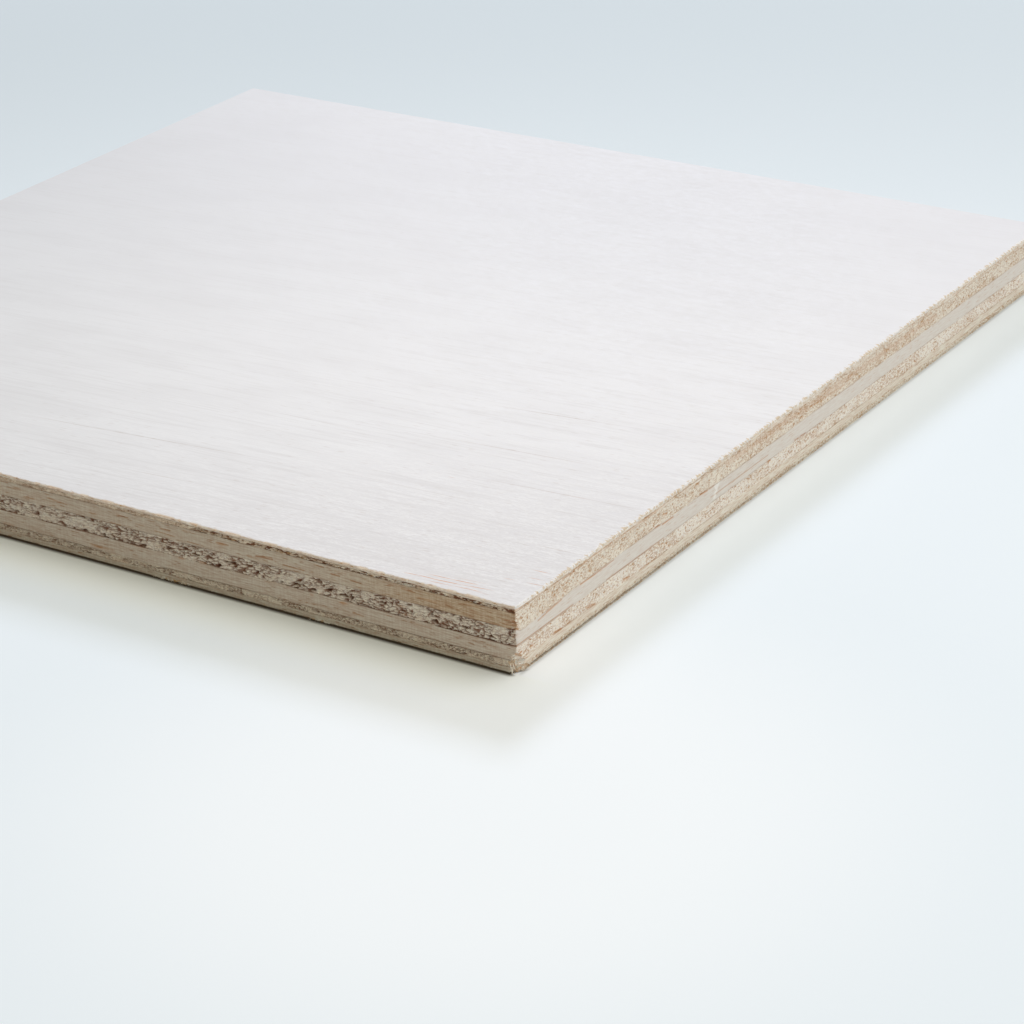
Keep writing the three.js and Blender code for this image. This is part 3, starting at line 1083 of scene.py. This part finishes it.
class Tree:
    """Short names for building a material's nodes."""

    def __init__(self, name):
        self.material = bpy.data.materials.new(name)
        self.material.use_nodes = True
        self.nodes = self.material.node_tree.nodes
        self.links = self.material.node_tree.links
        self.shader = self.nodes["Principled BSDF"]
        self.axes = None

    def put(self, socket, value):
        """Link an output to a socket or set the socket to a constant. None leaves it as it is."""
        if hasattr(value, "is_linked"):
            self.links.new(value, socket)
        elif value is not None:
            socket.default_value = value

    def node(self, kind, values=(), **settings):
        """A new node with these values at its inputs, and with these settings."""
        made = self.nodes.new(kind)
        for key, value in settings.items():
            setattr(made, key, value)
        for key, value in dict(values).items():
            self.put(made.inputs[key], value)
        return made

    def mark(self, name):
        """One of the marks on the mesh."""
        return self.node("ShaderNodeAttribute", attribute_name=name).outputs["Fac"]

    def math(self, operation, a, b=None, c=None, clamp=False):
        """One operation on up to three numbers."""
        numbers = enumerate((a, b, c))
        return self.node("ShaderNodeMath", numbers, operation=operation, use_clamp=clamp).outputs[0]

    def times(self, a, b):
        """Two numbers multiplied."""
        return self.math("MULTIPLY", a, b)

    def share(self, mark, most):
        """A mark as a share of a colour, where the mark's 1 is the most there is."""
        return self.math("MULTIPLY", self.mark(mark), most, clamp=True)

    def ramp(self, value, low, high, to_low=0.0, to_high=1.0):
        """A value between two levels taken smoothly to two others."""
        inputs = ("Value", "From Min", "From Max", "To Min", "To Max")
        numbers = zip(inputs, (value, low, high, to_low, to_high))
        made = self.node("ShaderNodeMapRange", numbers, interpolation_type="SMOOTHSTEP")
        return made.outputs["Result"]

    def mix(self, share, a, b, blend="MIX"):
        """Colour a with this share of colour b."""
        values = {0: share, 6: a, 7: b}
        return self.node("ShaderNodeMix", values, data_type="RGBA", blend_type=blend).outputs[2]

    def cover(self, colour, *layers):
        """A colour with others laid over it one after another, each by its share."""
        for share, tone in layers:
            colour = self.mix(share, colour, tone)
        return colour

    def place(self, scale, turn=0.0):
        """Object coordinates in millimetres, turned about Z and then scaled along each axis."""
        coordinates = self.node("ShaderNodeTexCoord").outputs["Object"]
        if turn:
            values = {"Vector": coordinates, "Angle": -turn}
            turned = self.node("ShaderNodeVectorRotate", values, rotation_type="Z_AXIS")
            coordinates = turned.outputs["Vector"]
        values = {0: coordinates, 1: [value / MM for value in scale]}
        return self.node("ShaderNodeVectorMath", values, operation="MULTIPLY").outputs[0]

    def xyz(self):
        """The object coordinates in millimetres, one by one."""
        if self.axes is None:
            self.axes = self.node("ShaderNodeSeparateXYZ", {0: self.place((1, 1, 1))}).outputs
        return self.axes

    def towards(self, direction):
        """How far a place lies in a level direction, in millimetres."""
        x, y, _ = self.xyz()
        return self.math("ADD", self.times(x, direction[0]), self.times(y, direction[1]))

    def noise(self, scale, detail, roughness, turn=0.0):
        """Noise from 0 to 1 with this many features a millimetre along each axis."""
        values = {"Vector": self.place(scale, turn), "Scale": 1.0, "Detail": detail, "Roughness": roughness}
        return self.node("ShaderNodeTexNoise", values).outputs["Fac"]

    def bump(self, height, distance, strength):
        """Small relief of the surface, its distance in millimetres."""
        values = {"Height": height, "Distance": distance * MM, "Strength": strength}
        self.put(self.shader.inputs["Normal"], self.node("ShaderNodeBump", values).outputs["Normal"])

    def finish(self, colour, roughness, specular):
        """Set the surface, and hand over the material."""
        inputs = self.shader.inputs
        self.put(inputs["Base Color"], colour)
        self.put(inputs["Roughness"], roughness)
        self.put(inputs["Specular IOR Level"], specular)
        return self.material


# Colours of cracks and pores: partly the wood's own darker colour, partly painted shade; the dark one also
# tints the painted shade at the far left
DARK_CREVICE_AND_SHADE = linear(126, 80, 54)
GOLD_CREVICE_AND_SHADE = linear(184, 136, 84)
ORANGE_STAIN = linear(192, 130, 76)
PALE_FIBRE = linear(246, 238, 224)
CREAM_FIBRE = linear(244, 232, 210)
WHITE_FIBRE = linear(248, 245, 240)
FIBRE_GOLD = linear(206, 166, 120)
# Painted contact shadow along the foot of the edges
PAINTED_FOOT_SHADOW = linear(66, 54, 36)
GLUE = linear(116, 76, 52)
GOLD_GLUE = linear(146, 100, 62)
WARM_WOOD = linear(215, 197, 170)
WARM_DARK = linear(186, 152, 120)

# How much of the orange stain is multiplied into the darker grain: along it, and in its ends by its axis
LONG_CONTRAST = 0.38
LAPPED_CONTRAST = 0.16
END_CONTRAST = {"x": 0.12, "y": 0.26}
# The share of the golden ticks in end grain, and of those in the face veneer's
GOLD = 0.75
FACE_GOLD = 0.35

# Level directions: to the right in the picture, away from the camera, and the one in which painted shade
# greys the top
RIGHT_IN_PICTURE = (0.837, 0.548)
AWAY_IN_PICTURE = (-0.548, 0.837)
REARWARD = (-0.25, 0.97)

# Each veneer's long grain and end grain
WOOD_COLOURS = {
    "back_veneer": (linear(218, 210, 195), linear(230, 223, 209)),
    "lower_crossband": (linear(236, 230, 218), linear(243, 235, 220)),
    "lower_core": (linear(220, 210, 196), linear(243, 240, 235)),
    "centre_crossband": (linear(229, 223, 216), linear(238, 231, 219)),
    "upper_core": (linear(217, 206, 189), linear(231, 224, 213)),
    "upper_crossband": (linear(243, 235, 221), linear(244, 229, 206)),
    "face_veneer": (linear(248, 237, 222), linear(252, 247, 240)),
}


def grain_scale(grain, along, across):
    """Features a millimetre along each axis, from those along and across the grain."""
    return (along, across, across) if grain == "x" else (across, along, across)


def painted_far_left_shade(tree, colour, share=0.10, tone=DARK_CREVICE_AND_SHADE):
    """Painted shade: wood a little darker towards the far left of the panel, where less light falls."""
    return tree.mix(tree.ramp(tree.towards(RIGHT_IN_PICTURE), -100, 20, share, 0.0), colour, tone)


def stained(tree, share, colour):
    """A colour with this share of the orange stain multiplied into it."""
    return tree.mix(share, colour, ORANGE_STAIN, "MULTIPLY")


def sawn_along(tree, name, grain):
    """The colour of a veneer's edges along its grain, and the warm one of the upper core near the corner."""
    tone = WOOD_COLOURS[name][0]
    lines = tree.noise(grain_scale(grain, 0.35, 5.2), 4.0, 0.70)
    ribs = tree.noise((2.6, 2.6, 0.25), 2.0, 0.5)
    shaded = stained(tree, LAPPED_CONTRAST if name == LAPPED else LONG_CONTRAST, tone)
    colour = tree.mix(tree.ramp(lines, 0.36, 0.62), shaded, tone)
    if grain == "x":
        colour = stained(tree, tree.ramp(ribs, 0.40, 0.62, 0.12, 0.0), colour)
    warm = tree.mix(tree.ramp(lines, 0.38, 0.62), WARM_DARK, WARM_WOOD)
    return colour, stained(tree, tree.ramp(ribs, 0.40, 0.62, 0.22, 0.0), warm)


def sawn_across(tree, name, grain, specks):
    """The colour of a veneer's edges across its grain, with golden ticks or with winding cracks."""
    tone = WOOD_COLOURS[name][1]
    colour = tree.mix(tree.ramp(specks, 0.38, 0.66), stained(tree, END_CONTRAST[grain], tone), tone)
    if grain == "x":
        ticks = tree.noise((1.6, 1.6, 3.6), 2.0, 0.6)
        pale = tree.ramp(ticks, 0.48, 0.38, 0.0, 0.75)
        gold = tree.ramp(ticks, 0.54, 0.62, 0.0, FACE_GOLD if name == FACE else GOLD)
        return tree.cover(colour, (pale, PALE_FIBRE), (gold, GOLD_CREVICE_AND_SHADE))
    # the thin winding cracks: partly darker wood, partly painted shade
    winding = tree.noise((0.9, 0.9, 2.8), 3.0, 0.55)
    patches = tree.noise((0.4, 0.4, 0.9), 1.0, 0.5)
    offset = tree.math("ABSOLUTE", tree.math("SUBTRACT", winding, 0.5))
    crack = tree.times(tree.ramp(offset, 0.006, 0.030, 0.85, 0.0), tree.ramp(patches, 0.40, 0.56))
    return tree.mix(crack, colour, DARK_CREVICE_AND_SHADE)


def edge_colour(tree, name, grain):
    """The colour of a veneer's sawn edges, from the marks on its mesh and fine noise."""
    specks = tree.noise((3.0, 3.0, 2.6), 3.0, 0.6)
    end = tree.mark("end")
    on_front = end if grain == "y" else tree.math("SUBTRACT", 1.0, end)
    fibre = PALE_FIBRE if grain == "x" else tree.mix(on_front, WHITE_FIBRE, CREAM_FIBRE)
    long_colour, warm = sawn_along(tree, name, grain)
    colour = tree.cover(
        tree.mix(end, long_colour, sawn_across(tree, name, grain, specks)),
        (tree.times(tree.mark("warm"), 0.9), warm),
        (tree.share("pale", 0.75), fibre),
        (tree.share("stain", 0.80), ORANGE_STAIN),
        # cracks, pores and holes: partly darker wood, partly painted shade
        (tree.share("crevice", 0.95), tree.mix(on_front, GOLD_CREVICE_AND_SHADE, DARK_CREVICE_AND_SHADE)),
        (tree.share("glue", 0.90), tree.mix(on_front, GOLD_GLUE, GLUE)),
        # painted contact shadow along the foot
        (tree.mark("foot"), PAINTED_FOOT_SHADOW),
    )
    return painted_far_left_shade(tree, colour), specks


def veneer_material(name, grain):
    """A veneer's wood, with the colour of the top on the arris of the face veneer."""
    tree = Tree(f"{name}_grain")
    colour, specks = edge_colour(tree, name, grain)
    if name == FACE:
        top = painted_far_left_shade(tree, with_fringe(tree, FACE_TONE), *PAINTED_FACE_LEFT_SHADE)
        colour = tree.mix(tree.mark("top"), colour, top)
    tree.bump(specks, 0.03, 0.7)
    return tree.finish(colour, tree.ramp(specks, 0.2, 0.8, 0.72, 0.92), 0.25)


def fibre_material():
    """Loose fibres: pale, a little golden here and there."""
    tree = Tree("loose_fibre")
    tint = tree.noise((0.7, 0.7, 0.7), 2.0, 0.5)
    return tree.finish(tree.mix(tree.ramp(tint, 0.44, 0.60), PALE_FIBRE, FIBRE_GOLD), 0.85, 0.2)


GRAIN_TURN = math.radians(4.0)  # the face veneer's grain runs this far off the front edge
FACE_TONE = linear(233, 232, 234)
FACE_SHADE = linear(212, 209, 210)
# Painted shade that greys the top towards the rear
PAINTED_FACE_REAR_SHADE = linear(210, 210, 215)
# Painted shade on the top towards its far left: how much darker, and towards what colour
PAINTED_FACE_LEFT_SHADE = (0.14, linear(67, 101, 111))  # how much darker the top is at its far left, and towards what
FACE_LINE = linear(186, 172, 164)
FACE_ORANGE = linear(206, 158, 128)
RIGHT_FRINGE = linear(204, 180, 145)
FRONT_FRINGE = linear(203, 184, 161)
FRINGE_RAGGEDNESS = {"front": 3.4, "right": 3.6}  # how far the noise moves the fringe's inner edge
FRINGE_OUT = 1.6  # how far past the panel's side that edge is where the noise is lowest
FRINGE_OUT_AT_CORNER = 2.1  # the same on the right, at the near corner
FRINGE_CORNER_ENDS = (2, 14)  # between these distances from the front side it changes to the other
STREAK_LENGTHENING = 1.30  # the ellipses are this much longer than the streaks, because their ends are faint

# Marks on the top face, seen from above: both ends, half width and strength
ORANGE_STREAKS = (
    ((81.2, -96.60), (86.4, -96.30), 0.13, 0.55),
    ((85.6, -96.35), (90.4, -96.00), 0.14, 0.75),
    ((77.6, -98.00), (81.0, -97.65), 0.12, 0.65),
    ((79.8, -97.75), (83.4, -97.55), 0.14, 0.60),
    ((82.6, -97.75), (88.2, -97.25), 0.15, 0.80),
    ((87.6, -97.30), (93.6, -96.50), 0.13, 0.60),
    ((82.6, -98.65), (87.4, -98.20), 0.13, 0.55),
    ((86.6, -98.30), (92.6, -97.75), 0.13, 0.50),
    ((90.0, -97.90), (94.2, -98.30), 0.12, 0.30),
    ((84.6, -95.60), (92.4, -94.90), 0.11, 0.25),
    ((95.0, -87.10), (98.4, -86.90), 0.14, 0.50),
    ((95.8, -89.75), (98.9, -89.55), 0.13, 0.45),
    ((96.7, -91.50), (99.7, -91.30), 0.13, 0.50),
    ((92.5, -91.95), (94.7, -91.60), 0.12, 0.35),
    ((84.6, -59.95), (89.6, -59.60), 0.30, 0.14),
    ((62.6, -63.40), (64.9, -63.20), 0.28, 0.14),
)
GREY_STREAKS = (
    ((-22.0, -78.4), (34.0, -72.1), 0.24, 0.50),
    ((11.0, -88.0), (28.0, -86.4), 0.20, 0.45),
    ((14.0, -55.2), (44.0, -54.0), 0.24, 0.28),
    ((64.0, -61.4), (100.0, -58.9), 0.18, 0.60),
    ((50.0, -50.0), (86.0, -47.0), 0.24, 0.50),
    ((52.0, -33.4), (80.0, -30.0), 0.26, 0.50),
    ((62.0, 2.6), (100.0, 6.4), 0.30, 0.24),
    ((90.0, -79.0), (100.0, -78.6), 0.18, 0.50),
    ((91.0, -88.4), (99.0, -87.6), 0.12, 0.35),
    ((40.0, -71.0), (75.0, -69.5), 0.16, 0.35),
)


def ellipse_share(tree, place, turn, start, end, half_width, strength):
    """A mark's strength in the middle of a long ellipse, falling evenly to 0 at its rim and on past it."""
    (x0, y0), (x1, y1) = start, end
    middle_x, middle_y = (x0 + x1) / 2, (y0 + y1) / 2
    along = middle_x * math.cos(turn) + middle_y * math.sin(turn)
    across = middle_y * math.cos(turn) - middle_x * math.sin(turn)
    half_length = STREAK_LENGTHENING * math.hypot(x1 - x0, y1 - y0) / 2
    shrink = (1 / half_length, 1 / half_width, 0)
    shift = (-along / half_length, -across / half_width, 0)
    shrunk = tree.node("ShaderNodeVectorMath", {0: place, 1: shrink, 2: shift}, operation="MULTIPLY_ADD")
    away = tree.node("ShaderNodeVectorMath", {0: shrunk.outputs[0]}, operation="LENGTH")
    return tree.math("MULTIPLY_ADD", away.outputs["Value"], -strength, strength)


def streak_share(tree, streaks, full):
    """The share of the strongest of these marks at a place seen from above, each a long ellipse.

    Where a mark is as strong as full, the share is 1. Each is turned by whole degrees, so that many
    share one turned place.
    """
    turned = {}
    total = None
    for start, end, half_width, strength in streaks:
        degrees = round(math.degrees(math.atan2(end[1] - start[1], end[0] - start[0])))
        turn = math.radians(degrees)
        if degrees not in turned:
            turned[degrees] = tree.place((1, 1, 1), turn)
        share = ellipse_share(tree, turned[degrees], turn, start, end, half_width, strength)
        total = share if total is None else tree.math("MAXIMUM", total, share)
    return tree.ramp(total, 0.0, full)


def with_fringe(tree, colour):
    """The top's colour, with torn fibres reaching in from its right and its front edge."""
    x, y, _ = tree.xyz()
    torn = tree.noise((0.7, 4.0, 4.0), 2.0, 0.6)
    tufts = tree.noise((0.9, 1.9, 1.9), 2.0, 0.65)
    start, end = (distance - HALF_Y for distance in FRINGE_CORNER_ENDS)
    right_limit = tree.ramp(y, start, end, HALF_X + FRINGE_OUT_AT_CORNER, HALF_X + FRINGE_OUT)
    from_right = tree.math("SUBTRACT", x, right_limit)
    from_front = tree.math("SUBTRACT", -HALF_Y - FRINGE_OUT, y)
    past_right = tree.math("MULTIPLY_ADD", tufts, FRINGE_RAGGEDNESS["right"], from_right)
    past_front = tree.math("MULTIPLY_ADD", torn, FRINGE_RAGGEDNESS["front"], from_front)
    return tree.cover(
        colour,
        (tree.ramp(past_front, -0.08, 0.12, 0.0, 0.65), FRONT_FRINGE),
        (tree.ramp(past_right, -0.08, 0.16, 0.0, 0.72), RIGHT_FRINGE),
    )


def vessel_share(tree):
    """Short open vessels, one in each of some stretched cells."""
    place = tree.place((0.30, 1.9, 1.9), GRAIN_TURN)
    cell = tree.node("ShaderNodeTexVoronoi", {"Vector": place, "Scale": 1.0})
    number = tree.node("ShaderNodeSeparateColor", {0: cell.outputs["Color"]})
    near_centre = tree.ramp(cell.outputs["Distance"], 0.08, 0.30, 1.0, 0.0)
    return tree.times(near_centre, tree.ramp(number.outputs[0], 0.66, 0.84))


def top_material():
    """The sanded top: pale and nearly even, with faint lines, short vessels and a few streaks, and painted
    shade towards the rear and the far left.
    """
    tree = Tree("face_veneer_top")
    mottle = tree.noise((0.05, 0.12, 0.1), 2.0, 0.6, GRAIN_TURN)
    lines = tree.noise((0.05, 1.3, 1.3), 3.0, 0.70, GRAIN_TURN)
    fuzz = tree.noise((0.5, 2.2, 2.2), 3.0, 0.62, GRAIN_TURN)
    grit = tree.noise((1.6, 4.2, 4.2), 1.0, 0.6, GRAIN_TURN)
    away = tree.towards(AWAY_IN_PICTURE)
    contrast = tree.ramp(away, -130, -10, 1.15, 0.34)
    blurred = tree.times(tree.ramp(fuzz, 0.60, 0.40, 0.0, 0.60), tree.ramp(away, -125, -60, 1.0, 0.45))
    shade = tree.math("MAXIMUM", tree.ramp(lines, 0.44, 0.66, 0.0, 0.60), blurred)
    close_grit = tree.times(tree.ramp(grit, 0.44, 0.62, 0.0, 0.55), tree.ramp(away, -128, -70, 1.0, 0.0))
    vessels = tree.times(tree.times(vessel_share(tree), contrast), 0.36)
    grey = tree.times(streak_share(tree, GREY_STREAKS, 0.75), tree.ramp(fuzz, 0.38, 0.56, 0.45, 1.0))
    orange = tree.times(streak_share(tree, ORANGE_STREAKS, 0.42), tree.ramp(fuzz, 0.34, 0.50, 0.60, 1.0))
    colour = tree.cover(
        FACE_TONE,
        (tree.ramp(mottle, 0.35, 0.70, 0.0, 0.20), FACE_SHADE),
        # painted shade towards the rear
        (tree.ramp(tree.towards(REARWARD), -60, 90, 0.0, 0.55), PAINTED_FACE_REAR_SHADE),
        (tree.times(shade, contrast), FACE_SHADE),
        (close_grit, FACE_SHADE),
        (vessels, FACE_LINE),
        (grey, FACE_LINE),
        (orange, FACE_ORANGE),
    )
    tree.bump(tree.times(fuzz, tree.ramp(away, -125, -40, 0.8, 0.3)), 0.03, 0.5)
    colour = painted_far_left_shade(tree, with_fringe(tree, colour), *PAINTED_FACE_LEFT_SHADE)
    return tree.finish(colour, tree.ramp(fuzz, 0.2, 0.8, 0.62, 0.80), 0.30)


# ===== The panel =====


def build_panel():
    """Every veneer with its material, and the loose fibres."""
    for index, (name, slot, grain) in enumerate(PLIES):
        materials = [veneer_material(name, grain)]
        if name == FACE:
            materials.append(top_material())
        pieces = lapped_veneer(index, materials) if name == LAPPED else veneer(index, materials)
    loose_fibres(fibre_material())


build_panel()

# ===== Floor, light and camera =====

CAMERA_PLACE = Vector((0.3462, -0.4761, 0.2353))
CAMERA_YAW = math.radians(-33.22)  # turned this far from looking along +Y
CAMERA_PITCH = math.radians(24.71)  # looking down
CAMERA_ROLL = math.radians(-1.66)
FOCAL_PIXELS = 3223.5
FRAME_PIXELS = 1024
SENSOR = 36.0


def add_camera():
    """The photograph's camera, solved from the panel's edges."""
    forward = Vector((
        math.sin(CAMERA_YAW) * math.cos(CAMERA_PITCH),
        math.cos(CAMERA_YAW) * math.cos(CAMERA_PITCH),
        -math.sin(CAMERA_PITCH),
    ))
    level_right = forward.cross(Vector((0, 0, 1))).normalized()
    level_up = level_right.cross(forward)
    right = level_right * math.cos(CAMERA_ROLL) + level_up * math.sin(CAMERA_ROLL)
    up = level_up * math.cos(CAMERA_ROLL) - level_right * math.sin(CAMERA_ROLL)
    data = bpy.data.cameras.new("camera")
    data.sensor_width = SENSOR
    data.lens = FOCAL_PIXELS / FRAME_PIXELS * SENSOR
    data.clip_start = 0.01
    camera = add_object("camera", data)
    turn = Matrix((right, up, -forward)).transposed()
    camera.matrix_world = Matrix.Translation(CAMERA_PLACE) @ turn.to_4x4()
    bpy.context.scene.camera = camera


FLOOR_HALF = 6.0
FLOOR_TONE = linear(243, 248, 253)
# Painted falloff of light on the floor, centred on a point in front of the near corner
FLOOR_MIDDLE = (118.0, -138.0)  # the floor is palest here, in millimetres
# Farther from there, the painted falloff of light: between which distances the floor takes each tone
PAINTED_FLOOR_FALLOFF = ((25.0, 90.0, linear(232, 240, 247)), (100.0, 450.0, linear(202, 211, 217)))
# Painted tint of light bounced off the wood into the shadow in front of the front edge
PAINTED_BOUNCE_TINT = linear(240, 244, 238)  # where it takes some colour from the front edge
PAINTED_BOUNCE_SHARE = 0.80
PAINTED_BOUNCE_REACH = (3.0, 15.0)
# Painted contact shadow on the floor along the foot of the edges, and along the broken corner
PAINTED_FLOOR_SHADOW = linear(70, 58, 42)  # the dark line along the foot of the edges
PAINTED_FLOOR_SHADOW_REACH = {"front": (1.05, 0.92), "right": (0.80, 0.30)}  # its width and its share
PAINTED_CORNER_SHADOW = (((98.2, -99.8), (100.3, -97.2), 0.55, 1.0),)  # the same line along the broken corner
PAINTED_CORNER_SHADOW_SHARE = 0.6


def painted_shadow_line(tree, gap, along, reach, share):
    """The painted contact shadow beside one edge, by the distance from the edge and from the panel's middle
    along it.
    """
    inside = tree.ramp(tree.math("ABSOLUTE", along), HALF_X - 1.4, HALF_X, 1.0, 0.0)
    line = tree.times(tree.ramp(gap, 0.0, reach, share, 0.0), inside)
    return tree.times(line, tree.ramp(gap, -0.3, 0.0))


def floor_material():
    """Paper with painted light: palest in front of the near corner and a little darker and bluer away from
    it, with painted bounce light and contact shadow beside the panel.
    """
    tree = Tree("floor_paper")
    x, y, _ = tree.xyz()
    east = tree.math("SUBTRACT", x, FLOOR_MIDDLE[0])
    north = tree.math("SUBTRACT", y, FLOOR_MIDDLE[1])
    away = tree.math("SQRT", tree.math("MULTIPLY_ADD", east, east, tree.times(north, north)))
    before = tree.math("SUBTRACT", -HALF_Y, y)
    beside = tree.math("SUBTRACT", x, HALF_X)
    # painted bounce light in front of the front edge
    near = tree.ramp(before, *PAINTED_BOUNCE_REACH, PAINTED_BOUNCE_SHARE, 0.0)
    painted_bounce = tree.times(tree.ramp(before, -1.0, 0.0), near)
    painted_bounce = tree.times(painted_bounce, tree.ramp(tree.math("ABSOLUTE", x), HALF_X - 12, HALF_X + 10, 1.0, 0.0))
    colour = tree.cover(
        FLOOR_TONE,
        # painted falloff of light away from the middle
        *((tree.ramp(away, start, end), tone) for start, end, tone in PAINTED_FLOOR_FALLOFF),
        (painted_bounce, PAINTED_BOUNCE_TINT),
        # painted contact shadows beside the front, the right side and the broken corner
        (painted_shadow_line(tree, before, x, *PAINTED_FLOOR_SHADOW_REACH["front"]), PAINTED_FLOOR_SHADOW),
        (painted_shadow_line(tree, beside, y, *PAINTED_FLOOR_SHADOW_REACH["right"]), PAINTED_FLOOR_SHADOW),
        (tree.times(streak_share(tree, PAINTED_CORNER_SHADOW, 0.7), PAINTED_CORNER_SHADOW_SHARE), PAINTED_FLOOR_SHADOW),
    )
    return tree.finish(colour, 0.9, 0.1)


def add_floor():
    """A level floor."""
    h = FLOOR_HALF
    mesh = bpy.data.meshes.new("floor")
    mesh.from_pydata([(-h, -h, 0), (h, -h, 0), (h, h, 0), (-h, h, 0)], [], [(0, 1, 2, 3)])
    mesh.materials.append(floor_material())
    floor = add_object("floor", mesh)


# Each light: where it is, its width, its power and its colour. A large soft key hangs over the panel,
# and a window behind it to the left casts the long pale shadow.
LIGHTS = {
    "key": (Vector((0.85, 0.45, 1.75)), 2.8, 46.5, (1.0, 0.971, 0.934)),
    "window": (Vector((-0.84, 1.56, 0.92)), 0.38, 17.5, (0.87, 0.96, 1.20)),
}
FILL = (0.218, 0.210, 0.160, 1.0)


def add_light():
    """An even fill from all round, and the lights of the table above."""
    world = bpy.data.worlds.new("studio")
    world.use_nodes = True
    background = world.node_tree.nodes["Background"]
    background.inputs["Color"].default_value = FILL
    background.inputs["Strength"].default_value = 1.0
    bpy.context.scene.world = world
    for name, (place, size, power, colour) in LIGHTS.items():
        data = bpy.data.lights.new(name, "AREA")
        data.shape = "SQUARE"
        data.size = size
        data.energy = power
        data.color = colour
        lamp = add_object(name, data)
        lamp.location = place
        lamp.rotation_euler = (-place).to_track_quat("-Z", "Y").to_euler()


add_camera()
add_floor()
add_light()
bpy.context.scene.view_settings.view_transform = "Standard"
